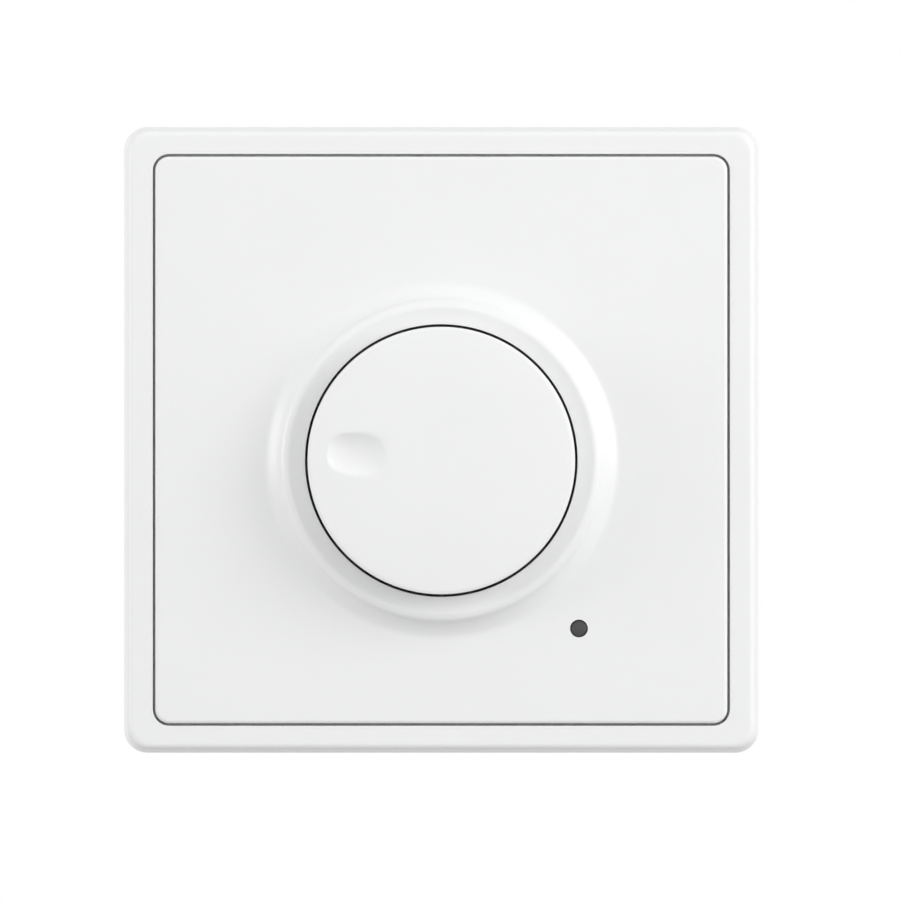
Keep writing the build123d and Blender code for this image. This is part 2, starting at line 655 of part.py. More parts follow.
# Leaf spring between the knob's bore and the shaft's flat
with BuildPart() as knob_clip:
    with BuildSketch(knob_front(HUB_BOTTOM)):
        with Locations((0, SHAFT_FLAT + CLIP_FIT + CLIP_T / 2)):
            Rectangle(CLIP_WIDTH, CLIP_T)
    extrude(amount=SHAFT_TOP - HUB_BOTTOM)
save(knob_clip.part, "knob_clip")

# Potentiometer: square cup, resistance track, rotor on the shaft's tail and its wiper
pot_room = FLANGE_SIZE - 2 * POT_WALL
with BuildPart() as pot_case:
    with BuildSketch(knob_front(POT_REAR)):
        Rectangle(FLANGE_SIZE, FLANGE_SIZE)
    extrude(amount=POT_DEPTH)
    with BuildSketch(knob_front(POT_REAR + POT_WALL)):
        Rectangle(pot_room, pot_room)
    extrude(amount=POT_DEPTH - POT_WALL, mode=Mode.SUBTRACT)
    with BuildSketch(knob_front(POT_REAR)):
        Rectangle(TAIL_HOLE, TAIL_HOLE)
    extrude(amount=POT_WALL, mode=Mode.SUBTRACT)
save(pot_case.part, "pot_case")

with BuildPart() as pot_track:
    with BuildSketch(knob_front(FLANGE_REAR - TRACK_T)):
        Rectangle(pot_room - 2 * CONTACT_GAP, pot_room - 2 * CONTACT_GAP)
        Rectangle(TRACK_BORE, TRACK_BORE, mode=Mode.SUBTRACT)
    extrude(amount=TRACK_T)
save(pot_track.part, "pot_track")

with BuildPart() as pot_rotor:
    rotor_end = POT_REAR + POT_WALL + ROTOR_END_GAP
    with BuildSketch(knob_front(rotor_end)):
        Circle(ROTOR_DIAMETER / 2)
    extrude(amount=ROTOR_TOP - rotor_end)
    with BuildSketch(knob_front(rotor_end)):
        d_outline(TAIL_DIAMETER + 2 * SHAFT_FIT, TAIL_FLAT + SHAFT_FIT)
    extrude(amount=ROTOR_TOP - rotor_end, mode=Mode.SUBTRACT)
save(pot_rotor.part, "pot_rotor")

with BuildPart() as pot_wiper:
    wiper_middle = (WIPER_INNER_R + WIPER_OUTER_R) / 2
    with BuildSketch(knob_front(ROTOR_TOP)):
        with Locations((wiper_middle, 0)):
            Rectangle(WIPER_OUTER_R - WIPER_INNER_R, WIPER_LENGTH)
    extrude(amount=WIPER_T)
    with BuildSketch(knob_front(ROTOR_TOP)):
        with Locations((wiper_middle, (WIPER_LENGTH - WIPER_TIP) / 2)):
            Rectangle(WIPER_TIP, WIPER_TIP)
    extrude(amount=FLANGE_REAR - TRACK_T - CONTACT_GAP - ROTOR_TOP)
save(pot_wiper.part, "pot_wiper")

# Push switch: case on the board, plunger behind the shaft, return spring, bridge and contacts
with BuildPart() as switch_case:
    with BuildSketch(knob_front(BOARD_TOP)):
        Rectangle(SWITCH_SIZE, SWITCH_SIZE)
    extrude(amount=SWITCH_DEPTH)
    with BuildSketch(knob_front(BOARD_TOP)):
        Rectangle(SWITCH_SIZE - 2 * SWITCH_WALL, SWITCH_SIZE - 2 * SWITCH_WALL)
    extrude(amount=SWITCH_DEPTH - SWITCH_WALL, mode=Mode.SUBTRACT)
    with BuildSketch(knob_front(POT_REAR)):
        Rectangle(TAIL_HOLE, TAIL_HOLE)
    extrude(amount=-SWITCH_WALL, mode=Mode.SUBTRACT)
save(switch_case.part, "switch_case")

with BuildPart() as switch_plunger:
    with BuildSketch(knob_front(PLUNGER_REAR)):
        Rectangle(PLUNGER_SIZE, PLUNGER_SIZE)
    extrude(amount=PLUNGER_T)
    with BuildSketch(knob_front(PLUNGER_REAR)):
        Rectangle(POST_SIZE, POST_SIZE)
    extrude(amount=-POST_LENGTH)
save(switch_plunger.part, "switch_plunger")

with BuildPart() as switch_bridge:
    bridge_length = SWITCH_SIZE - 2 * SWITCH_WALL - 2 * CONTACT_T - 2 * CONTACT_GAP
    with BuildSketch(knob_front(BRIDGE_REAR)):
        Rectangle(bridge_length, BRIDGE_WIDTH)
        Rectangle(POST_SIZE + 2 * CONTACT_GAP, POST_SIZE + 2 * CONTACT_GAP, mode=Mode.SUBTRACT)
    extrude(amount=BRIDGE_T)
save(switch_bridge.part, "switch_bridge")

with BuildPart() as switch_contacts:
    contact_x = SWITCH_SIZE / 2 - SWITCH_WALL - CONTACT_T / 2
    with BuildSketch(knob_front(BOARD_TOP)):
        with Locations((-contact_x, 0), (contact_x, 0)):
            Rectangle(CONTACT_T, BRIDGE_WIDTH)
    extrude(amount=BRIDGE_REAR - CONTACT_OPEN - BOARD_TOP)
save(switch_contacts.part, "switch_contacts")

with BuildPart() as switch_spring:
    post_end = PLUNGER_REAR - POST_LENGTH
    with BuildSketch(section(KNOB_Z - BRIDGE_WIDTH / 2)):
        with BuildLine():
            ThreePointArc(
                (-SPRING_LENGTH / 2, BOARD_TOP + SPRING_T / 2),
                (0, post_end - SPRING_T),
                (SPRING_LENGTH / 2, BOARD_TOP + SPRING_T / 2),
            )
        trace(line_width=SPRING_T)
    extrude(amount=-BRIDGE_WIDTH)
save(switch_spring.part, "switch_spring")

# Circuit board, cut off below the terminals
with BuildPart() as circuit_board:
    with BuildSketch(front(BOARD_REAR)):
        housing_outline(HOUSING_WALL + BOARD_GAP)
        with Locations((0, BOARD_TOP_Z + HOUSING_HEIGHT / 2)):
            Rectangle(HOUSING_WIDTH, HOUSING_HEIGHT, mode=Mode.SUBTRACT)
    extrude(amount=BOARD_T)
save(circuit_board.part, "circuit_board")

# Heat sink: bent aluminium strip beside the right wall, with the triac held to it by a clip
triac_end = BOARD_TOP + TRIAC_STAND + TRIAC_LENGTH
with BuildPart() as heat_sink:
    with BuildSketch(front(BOARD_TOP)):
        with Locations((SINK_X - SINK_T / 2, SINK_Z)):
            Rectangle(SINK_T, SINK_LENGTH)
        with Locations((SINK_X - SINK_FLANGE / 2, SINK_Z + SINK_LENGTH / 2 - SINK_T / 2)):
            Rectangle(SINK_FLANGE, SINK_T)
    extrude(amount=triac_end - BOARD_TOP)
save(heat_sink.part, "heat_sink")

with BuildPart() as triac:
    with BuildSketch(front(BOARD_TOP + TRIAC_STAND)):
        with Locations((SINK_FACE_X - TRIAC_T / 2, TRIAC_Z)):
            Rectangle(TRIAC_T, TRIAC_WIDTH)
    extrude(amount=TRIAC_LENGTH)
    with BuildSketch(front(BOARD_TOP)):
        with Locations((SINK_FACE_X - TRIAC_T / 2, TRIAC_Z)):
            with GridLocations(0, LEG_PITCH, 1, 3):
                Rectangle(LEG_SIZE, LEG_SIZE)
    extrude(amount=TRIAC_STAND)
save(triac.part, "triac")

with BuildPart() as triac_clip:
    clip_span = SINK_T + TRIAC_T + SINK_CLIP_T
    with BuildSketch(front(triac_end)):
        with Locations((SINK_X - clip_span / 2, TRIAC_Z)):
            Rectangle(clip_span, SINK_CLIP_WIDTH)
    extrude(amount=SINK_CLIP_T)
    with BuildSketch(front(triac_end + SINK_CLIP_T)):
        with Locations((SINK_X - clip_span + SINK_CLIP_T / 2, TRIAC_Z)):
            Rectangle(SINK_CLIP_T, SINK_CLIP_WIDTH)
    extrude(amount=-SINK_CLIP_REACH)
save(triac_clip.part, "triac_clip")

# Choke: spool-shaped core lying on the board, with its winding between the cheeks
choke_height = BOARD_TOP + CHOKE_CHEEK / 2
with BuildPart() as choke_core:
    with BuildSketch(Plane(origin=(CHOKE_X, -choke_height, CHOKE_Z))):
        Rectangle(CHOKE_CORE, CHOKE_CORE)
    extrude(amount=CHOKE_LENGTH / 2, both=True)
    for cheek_z in (CHOKE_Z - CHOKE_LENGTH / 2, CHOKE_Z + CHOKE_LENGTH / 2 - CHOKE_CHEEK_T):
        with BuildSketch(Plane(origin=(CHOKE_X, -choke_height, cheek_z))):
            Rectangle(CHOKE_CHEEK, CHOKE_CHEEK)
        extrude(amount=CHOKE_CHEEK_T)
save(choke_core.part, "choke_core")

with BuildPart() as choke_winding:
    with BuildSketch(Plane(origin=(CHOKE_X, -choke_height, CHOKE_Z))):
        Rectangle(CHOKE_COIL, CHOKE_COIL)
        Rectangle(CHOKE_CORE + 2 * CHOKE_FIT, CHOKE_CORE + 2 * CHOKE_FIT, mode=Mode.SUBTRACT)
    extrude(amount=CHOKE_LENGTH / 2 - CHOKE_CHEEK_T - CHOKE_FIT, both=True)
save(choke_winding.part, "choke_winding")

# Capacitors
with BuildPart() as suppressor_capacitor:
    with BuildSketch(front(BOARD_TOP)):
        with Locations((SUPPRESSOR_X, SUPPRESSOR_Z)):
            Rectangle(SUPPRESSOR_LENGTH, SUPPRESSOR_WIDTH)
    extrude(amount=SUPPRESSOR_HEIGHT)
save(suppressor_capacitor.part, "suppressor_capacitor")

with BuildPart() as timing_capacitor:
    with BuildSketch(front(BOARD_TOP)):
        with Locations((TIMING_X, TIMING_Z)):
            Rectangle(TIMING_WIDTH, TIMING_LENGTH)
    extrude(amount=TIMING_HEIGHT)
save(timing_capacitor.part, "timing_capacitor")

# Chip resistors and trigger diode
with BuildPart() as resistors:
    with BuildSketch(front(BOARD_TOP)):
        with Locations((CHOKE_X, CHIP_Z)):
            with GridLocations(0, CHIP_PITCH, 1, CHIP_COUNT):
                Rectangle(CHIP_LENGTH, CHIP_WIDTH)
    extrude(amount=CHIP_HEIGHT)
save(resistors.part, "resistors")

with BuildPart() as diac:
    with BuildSketch(front(BOARD_TOP)):
        with Locations((DIAC_X, DIAC_Z)):
            Rectangle(DIAC_LENGTH, DIAC_SIZE)
    extrude(amount=DIAC_SIZE)
save(diac.part, "diac")


def make_terminal(x):
    """Brass pillar with a wire bore from behind, a screw thread from above and a tab on the board."""
    with BuildPart() as terminal:
        with BuildSketch(front(HOUSING_FLOOR)):
            with Locations((x, (TERMINAL_TOP + TERMINAL_BOTTOM) / 2)):
                Rectangle(TERMINAL_WIDTH, TERMINAL_HEIGHT)
        extrude(amount=TERMINAL_DEPTH)
        with BuildSketch(front(BOARD_TOP)):
            with Locations((x, (BOARD_TOP_Z - TAB_REACH + TERMINAL_BOTTOM) / 2)):
                Rectangle(TAB_WIDTH, TERMINAL_BOTTOM - BOARD_TOP_Z + TAB_REACH)
        extrude(amount=TAB_T)
        with BuildSketch(front(HOUSING_FLOOR)):
            with Locations((x, WIRE_Z)):
                Circle(WIRE_BORE / 2)
        extrude(amount=WIRE_BORE_DEPTH, mode=Mode.SUBTRACT)
        with BuildSketch(Plane.XY.offset(WIRE_Z)):
            with Locations((x, -TERMINAL_MIDDLE)):
                Circle(TERMINAL_SCREW_DIAMETER / 2 + THREAD_FIT)
        extrude(amount=TERMINAL_TOP - WIRE_Z, mode=Mode.SUBTRACT)
    return terminal.part


for terminal_x, terminal_name in zip(TERMINAL_XS, ("terminal_line", "terminal_load")):
    save(make_terminal(terminal_x), terminal_name)

# Terminal screws: grub screws above the wire bores, tips just clear of them
with BuildPart() as terminal_screws:
    tip_z = WIRE_Z + WIRE_BORE / 2 + TERMINAL_TIP_GAP
    with BuildSketch(Plane.XY.offset(tip_z)):
        with Locations(*[(x, -TERMINAL_MIDDLE) for x in TERMINAL_XS]):
            Circle(TERMINAL_SCREW_DIAMETER / 2)
    extrude(amount=TERMINAL_TOP + TERMINAL_SCREW_PROUD - tip_z)
save(terminal_screws.part, "terminal_screws")
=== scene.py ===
import json
import math

import bpy
import numpy as np
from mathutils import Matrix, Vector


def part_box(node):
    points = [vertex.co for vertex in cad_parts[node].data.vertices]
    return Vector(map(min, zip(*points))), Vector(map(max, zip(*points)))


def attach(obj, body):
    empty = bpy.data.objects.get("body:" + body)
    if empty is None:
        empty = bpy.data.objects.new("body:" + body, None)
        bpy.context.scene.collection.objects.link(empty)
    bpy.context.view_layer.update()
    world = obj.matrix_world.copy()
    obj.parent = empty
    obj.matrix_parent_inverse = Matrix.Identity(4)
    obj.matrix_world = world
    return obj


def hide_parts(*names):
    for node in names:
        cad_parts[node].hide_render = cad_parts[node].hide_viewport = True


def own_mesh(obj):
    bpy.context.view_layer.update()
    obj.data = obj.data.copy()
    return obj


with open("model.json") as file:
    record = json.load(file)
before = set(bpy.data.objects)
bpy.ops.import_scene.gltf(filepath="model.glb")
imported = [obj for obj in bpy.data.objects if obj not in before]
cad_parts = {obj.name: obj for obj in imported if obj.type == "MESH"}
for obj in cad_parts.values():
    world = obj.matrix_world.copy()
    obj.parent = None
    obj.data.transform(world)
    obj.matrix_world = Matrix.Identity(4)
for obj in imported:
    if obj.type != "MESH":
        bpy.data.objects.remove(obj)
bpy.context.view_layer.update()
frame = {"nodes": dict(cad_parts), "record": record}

# Lengths are in millimetres. A point is (across, height out of the wall, up), and MM takes it to metres.
MM = 0.001


def sides(node):
    """Lowest and highest corner of a CAD node in millimetres, as across, height and up."""
    low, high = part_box(node)
    return np.array([low.x, -high.y, low.z]) / MM, np.array([high.x, -low.y, high.z]) / MM


# Surround
SURROUND_HALF_WIDTH, SURROUND_RISE, SURROUND_HALF_HEIGHT = sides("frame")[1]
SURROUND_CORNER = 3.2
SURROUND_WALL = 2.0
SURROUND_DRAFT = math.radians(3)
SURROUND_EDGE = 0.8
MOUTH_CORNER = 2.23
MOUTH_EDGE = 0.12
RIB_OUTER = 34.9
RIB_INNER = 33.5
RIB_CORNER = 4.0
RIB_FOOT = 1.2
LEDGE_REAR = 5.9
MOULD_EDGE = 0.15

# Centre plate with the well that the knob sits in, whose profile starts a lead outside its wall
plate_low, plate_high = sides("centre_plate")
PLATE_HALF_WIDTH = plate_high[0]
PLATE_HALF_HEIGHT = plate_high[2]
PLATE_TOP = 9.9
PLATE_REAR = 7.9
PLATE_FOOT = 7.5
PLATE_CLEARANCE = 0.33
PLATE_CORNER = 1.9
PLATE_LEAST_CORNER = 0.4
PLATE_EDGE = 0.45
PLATE_EDGE_START = 1.2
PLATE_RIM = 3.2
FRONT_ROWS = 50
REAR_ROWS = 35
WELL_BACK = plate_low[1]
WELL_FLOOR = 5.0
WELL_R = 18.47
WELL_OUTER_R = 19.87
WELL_LEAD = 1.0
WELL_FILLET = 0.4
WELL_MOUTH_EDGE = 0.08
BUSH_HOLE_R = 4.6

# Collar: its fall in degrees at some radii, which is below zero where it rises to the crest
COLLAR_START = 12.15
COLLAR_BASE_R = 24.4
COLLAR_SLOPES = (
    (WELL_R, -8.0),
    (19.4, -12.0),
    (20.35, -19.0),
    (20.65, -12.0),
    (20.9, 14.0),
    (21.3, 24.0),
    (21.55, 42.0),
    (21.75, 66.0),
    (22.0, 70.0),
    (22.15, 56.0),
    (22.6, 46.0),
    (23.2, 37.0),
    (23.7, 26.0),
    (24.0, 11.0),
    (COLLAR_BASE_R, 0.0),
)
COLLAR_SAMPLES = 1800
COLLAR_ROWS = 90
COLLAR_FIRST_ROW = 3

# Knob with its finger dimple
knob_low, knob_high = sides("knob")
KNOB_R = knob_high[0]
KNOB_Z = (knob_low[2] + knob_high[2]) / 2
KNOB_TOP = knob_high[1]
KNOB_SKIRT = knob_low[1]
KNOB_WALL = 1.6
KNOB_FACE_T = 2.0
KNOB_FACE_REAR = KNOB_TOP - KNOB_FACE_T
KNOB_BAND = 0.45
KNOB_BAND_FALL = 0.15
KNOB_BAND_EDGE = 0.06
KNOB_EDGE = 0.12
KNOB_CROWN = 0.45
KNOB_CROWN_POWER = 4
HUB_R = 5.2
HUB_FOOT = 10.1
BORE_R = 3.04
BORE_FLAT = 2.42
KNOB_RAYS = 384
FACE_ROWS = 26
DIMPLE_OUT = 11.6
DIMPLE_TURN = math.radians(175.6)
DIMPLE_HALF_LENGTH = 3.95
DIMPLE_HALF_WIDTH = 2.85
DIMPLE_POWER = 2.6
DIMPLE_DEPTH = 0.95
DIMPLE_ROWS = 22

# Indicator lens; the powers are those of its round pin and its square flange
lens_low, lens_high = sides("indicator_lens")
LENS_X = (lens_low[0] + lens_high[0]) / 2
LENS_Z = (lens_low[2] + lens_high[2]) / 2
LENS_R = 1.06
LENS_HOLE_R = 1.21
LENS_TOP = lens_high[1]
LENS_DOME = 0.16
LENS_DOME_ROWS = 8
LENS_EDGE = 0.08
LENS_ROOT = 0.04
LENS_FLANGE = (lens_high[0] - lens_low[0]) / 2
LENS_FLANGE_REAR = lens_low[1]
LENS_PIN_POWER = 2
LENS_FLANGE_POWER = 14
LENS_BLOCK = 4
LENS_RINGS = 5
LENS_RAYS = 64

# Return leaf of the push switch, which the plunger presses towards the board
leaf_low, leaf_high = sides("switch_spring")
LEAF_HALF_SPAN = 4.0
LEAF_T = 0.3
LEAF_HALF_WIDTH = (leaf_high[2] - leaf_low[2]) / 2
LEAF_CREST = leaf_high[1] - LEAF_T / 2
LEAF_POWER = 8
LEAF_STEPS = 36
LEAF_RAYS = 48
BOARD_FACE = sides("circuit_board")[1][1]

# Steps of outlines and of eased corners, how far past its cut an eased corner holds the flat, and from which
# angle on an edge is a crease
CORNER_STEPS = 16
SIDE_STEPS = 80
ARC_STEPS = 6
FLAT_HOLD = 1.25
CREASE = math.radians(40)

# Bevels on CAD nodes: the width for each node, and which points and edges they take
BEVEL_WIDTHS = {"housing": 0.3, "yoke": 0.12, "claw_left": 0.15, "claw_right": 0.15}
BEVEL_SEGMENTS = 2
BEVEL_FROM = math.radians(35)
JOIN_WITHIN = 0.001

# Photograph: what one pixel spans, its size, and where the surround's middle lies in it
PIXEL = 0.13554
PICTURE = 900
MIDDLE_ACROSS = 441.3
MIDDLE_DOWN = 439.9
CAMERA_BACK = 0.6

# Floor: how far it lies below the surround, its size and greys, its glow for the camera, and the distances in
# metres over which it passes to white
FLOOR_DROP = 24.0
FLOOR_R = 900.0
FLOOR_RINGS = 24
FLOOR_RAYS = 64
FLOOR_GREYS = (0.66, 0.62)
FLOOR_CLOUDS = 12.0
FLOOR_ROUGHNESS = 0.9
FLOOR_GLOW = 0.22
FLOOR_FADE = (0.12, 0.35)

# Light of the room from the front and from the wall's side, and the lamps: name, direction from the part,
# size in metres, level, and whether gloss mirrors it
ROOM_FRONT = 1.015
ROOM_REAR = 0.25
LAMP_DISTANCE = 1.2
LAMPS = (
    ("right_lamp", (0.86, -0.375, 0.347), 0.8, 0.3, True),
    ("front_lamp", (0.72, -0.643, 0.262), 0.8, 0.2, True),
    ("left_lamp", (-0.97, -0.242, 0), 0.8, 0.44, True),
    ("rear_lamp", (-0.1, 1.0, 0.1), 0.5, 0.45, False),
)

# Plastics: name, colour, shaded colour, roughness and its spread, scales of clouds and grain, grain depth in
# millimetres, coat
PLASTICS = (
    ("white_plastic", (0.858, 0.860, 0.863), (0.833, 0.835, 0.839), 0.28, 0.0, 90.0, 2600.0, 0.004, 0.0),
    ("smoked_lens", (0.05, 0.049, 0.049), (0.035, 0.035, 0.035), 0.16, 0.05, 700.0, 4000.0, 0.004, 0.3),
    ("grey_plastic", (0.60, 0.61, 0.62), (0.53, 0.54, 0.55), 0.48, 0.1, 120.0, 2200.0, 0.012, 0.0),
    ("black_plastic", (0.035, 0.035, 0.037), (0.02, 0.02, 0.021), 0.45, 0.12, 300.0, 4000.0, 0.004, 0.0),
    ("ivory_plastic", (0.76, 0.70, 0.56), (0.68, 0.61, 0.47), 0.4, 0.1, 200.0, 4000.0, 0.004, 0.0),
    ("yellow_plastic", (0.75, 0.5, 0.05), (0.62, 0.38, 0.03), 0.35, 0.1, 200.0, 4000.0, 0.004, 0.0),
    ("red_plastic", (0.42, 0.06, 0.04), (0.3, 0.035, 0.025), 0.25, 0.1, 200.0, 4000.0, 0.004, 0.0),
    ("blue_glaze", (0.06, 0.16, 0.42), (0.03, 0.09, 0.28), 0.2, 0.1, 300.0, 4000.0, 0.004, 0.3),
    ("lamp_plastic", (0.80, 0.80, 0.76), (0.70, 0.71, 0.66), 0.2, 0.08, 300.0, 4000.0, 0.004, 0.3),
    ("board", (0.05, 0.22, 0.09), (0.03, 0.14, 0.05), 0.35, 0.15, 500.0, 3000.0, 0.01, 0.0),
    ("carbon_track", (0.03, 0.03, 0.03), (0.015, 0.015, 0.015), 0.6, 0.15, 800.0, 4000.0, 0.004, 0.0),
    ("ferrite", (0.07, 0.068, 0.066), (0.04, 0.039, 0.038), 0.55, 0.15, 500.0, 3000.0, 0.02, 0.0),
)
CLOUD_SHARE = 0.75
GRAIN_STRENGTH = 0.3

# Metals: name, colour, dull colour, roughness and its spread
METALS = (
    ("zinc_steel", (0.72, 0.74, 0.76), (0.52, 0.53, 0.55), 0.34, 0.25),
    ("bright_steel", (0.75, 0.75, 0.74), (0.6, 0.6, 0.59), 0.22, 0.15),
    ("spring_steel", (0.55, 0.55, 0.55), (0.4, 0.4, 0.41), 0.3, 0.2),
    ("brass", (0.78, 0.59, 0.27), (0.6, 0.42, 0.17), 0.28, 0.2),
    ("copper", (0.82, 0.42, 0.24), (0.62, 0.28, 0.14), 0.3, 0.2),
    ("aluminium", (0.8, 0.8, 0.81), (0.68, 0.68, 0.7), 0.35, 0.2),
)
STREAK_STRETCH = (1.0, 1.0, 0.06)
STREAK_SCALE = 2500.0
BLOTCH_SCALE = 260.0
STREAK_STRENGTH = 0.25
STREAK_DEPTH = 0.006

# Middle of what a noise gives
NOISE_MIDDLE = 0.5


# Surfaces


def rounded_profile(corners, cuts):
    """Open profile with eased corners.

    Every inner corner is cut back by its own length along both of its edges, and the points between run on a
    quarter ellipse: corner + (start - corner)(1 - sine) + (end - corner)(1 - cosine). One more point a little
    further along each edge keeps the flats flat. Lengths are taken in the first and last column, which are
    across and height.
    """
    corners = np.asarray(corners, float)
    knee = corners[1:-1]
    cuts = np.asarray(cuts, float)[:, None]
    back = corners[:-2] - knee
    ahead = corners[2:] - knee
    back *= cuts / np.hypot(back[:, 0], back[:, -1])[:, None]
    ahead *= cuts / np.hypot(ahead[:, 0], ahead[:, -1])[:, None]
    turn = np.linspace(0, np.pi / 2, ARC_STEPS + 1)
    leave = np.concatenate([[FLAT_HOLD], 1 - np.sin(turn), [0]])[None, :, None]
    enter = np.concatenate([[0], 1 - np.cos(turn), [FLAT_HOLD]])[None, :, None]
    eased = knee[:, None] + back[:, None] * leave + ahead[:, None] * enter
    return np.vstack([corners[:1], eased.reshape(-1, corners.shape[1]), corners[-1:]])


def rounded_outline(half_width, half_height, radius):
    """Rounded rectangles, one row for each station of a profile.

    A corner is a quarter circle about the point one radius in from both sides, a side the straight run to the
    next corner. Returns across and up, anticlockwise from the right-hand side.
    """
    measures = (half_width, half_height, radius)
    half_width, half_height, radius = (np.atleast_1d(measure)[:, None, None] for measure in measures)
    turn = (np.arange(4)[:, None] + np.linspace(0, 1, CORNER_STEPS + 1)) * np.pi / 2
    right = np.array([1, -1, -1, 1])[:, None]
    upper = np.array([1, 1, -1, -1])[:, None]
    corner = np.stack([
        right * (half_width - radius) + radius * np.cos(turn),
        upper * (half_height - radius) + radius * np.sin(turn),
    ])
    along = np.linspace(0, 1, SIDE_STEPS + 1)[1:-1]
    last = corner[..., -1:]
    first = np.roll(corner[..., :1], -1, axis=2)
    side = last + (first - last) * along
    return np.concatenate([corner, side], axis=3).reshape(2, half_width.shape[0], -1)


def superellipse_reach(turn, half_length, half_width, power):
    """Distance from the middle of a superellipse to its edge in the direction turn.

    It is (|cos / a|^n + |sin / b|^n)^(-1 / n), with a and b the half length and half width and n the power.
    """
    length_share = np.abs(np.cos(turn) / half_length) ** power
    width_share = np.abs(np.sin(turn) / half_width) ** power
    return (length_share + width_share) ** (-1 / power)


def grid_points(across, height, up):
    """Points of a grid as one list, and their numbers in rows. A column of heights gives each row its own."""
    grid = np.stack(np.broadcast_arrays(across, height, up), axis=-1)
    points = grid.reshape(-1, 3)
    return points, np.arange(len(points)).reshape(grid.shape[:2])


def ring_faces(number, closed):
    """Quads between neighbouring rows of point numbers. Columns close into rings, rows too where asked."""
    if closed:
        number = np.vstack([number, number[:1]])
    beside = np.roll(number, -1, axis=1)
    return np.stack([number[:-1], number[1:], beside[1:], beside[:-1]], axis=-1).reshape(-1, 4)


def fan_faces(ring, pole):
    """Triangles from one ring of point numbers to its pole."""
    return np.stack([ring, np.roll(ring, -1), np.full_like(ring, pole)], axis=-1)


def capped_faces(number):
    """Faces of a row of rings with a fan at each end; the poles are numbered after the rings' own points."""
    return [
        ring_faces(number, closed=False),
        fan_faces(number[0], number.size),
        fan_faces(number[-1][::-1], number.size + 1),
    ]


def signed_volume(points, faces):
    """Sixth of the sum of the triple products of the faces' triangles: negative where faces point inwards."""
    corner = points[faces]
    volume = np.einsum("ij,ij->", np.cross(corner[:, 0], corner[:, 1]), corner[:, 2])
    if faces.shape[1] == 4:
        volume += np.einsum("ij,ij->", np.cross(corner[:, 0], corner[:, 2]), corner[:, 3])
    return volume / 6


def make_piece(name, points, face_sets, node, body, slot):
    """Mesh piece that stands for a CAD node: its points go to metres, and its faces are turned outwards."""
    spots = np.stack([points[:, 0], -points[:, 1], points[:, 2]], axis=1) * MM
    if sum(signed_volume(spots, faces) for faces in face_sets) < 0:
        face_sets = [faces[:, ::-1] for faces in face_sets]
    mesh = bpy.data.meshes.new(name)
    mesh.from_pydata(spots, [], [face for faces in face_sets for face in faces.tolist()])
    mesh.shade_smooth()
    mesh.set_sharp_from_angle(angle=CREASE)
    mesh.materials.append(FINISHES[slot])
    piece = bpy.data.objects.new(name, mesh)
    bpy.context.scene.collection.objects.link(piece)
    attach(piece, body)
    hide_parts(node)
    return piece


# Finishes


def add_node(tree, kind, **settings):
    """New node in a tree, with its settings."""
    node = tree.nodes.new(kind)
    for key, value in settings.items():
        setattr(node, key, value)
    return node


def new_group(name, inputs, outputs):
    """Node group with named sockets; inputs give the value that each starts from."""
    group = bpy.data.node_groups.new(name, "ShaderNodeTree")
    for label, kind, value in inputs:
        socket = group.interface.new_socket(label, in_out="INPUT", socket_type=kind)
        socket.default_value = value
    for label, kind in outputs:
        group.interface.new_socket(label, in_out="OUTPUT", socket_type=kind)
    return group, add_node(group, "NodeGroupInput"), add_node(group, "NodeGroupOutput")


def noise(tree, where, scale, detail=2.0, rough=0.5):
    """Noise on the given coordinates; scale is a number or an output that carries one."""
    node = add_node(tree, "ShaderNodeTexNoise")
    node.inputs["Detail"].default_value = detail
    node.inputs["Roughness"].default_value = rough
    tree.links.new(where, node.inputs["Vector"])
    if isinstance(scale, float):
        node.inputs["Scale"].default_value = scale
    else:
        tree.links.new(scale, node.inputs["Scale"])
    return node.outputs["Fac"]


def calc(tree, operation, first, second):
    """Math node on two numbers or outputs."""
    node = add_node(tree, "ShaderNodeMath", operation=operation)
    for socket, value in zip(node.inputs, (first, second)):
        if isinstance(value, (int, float)):
            socket.default_value = value
        else:
            tree.links.new(value, socket)
    return node.outputs[0]


def blend_colours(tree, share, first, second):
    """Mix of two colours by a share that is an output."""
    node = add_node(tree, "ShaderNodeMix", data_type="RGBA")
    tree.links.new(share, node.inputs["Factor"])
    for socket, value in ((node.inputs[6], first), (node.inputs[7], second)):
        if isinstance(value, tuple):
            socket.default_value = value
        else:
            tree.links.new(value, socket)
    return node.outputs[2]


def blend_shaders(tree, share, first, second):
    """Mix of two shaders by a share, all three of them outputs."""
    node = add_node(tree, "ShaderNodeMixShader")
    for socket, output in zip(node.inputs, (share, first, second)):
        tree.links.new(output, socket)
    return node.outputs[0]


def wandering(group, given, share):
    """Roughness that wanders about its middle with a share, by its spread."""
    swing = calc(group, "SUBTRACT", share, NOISE_MIDDLE)
    wander = calc(group, "MULTIPLY", swing, given.outputs["Roughness Spread"])
    return calc(group, "ADD", given.outputs["Roughness"], wander)


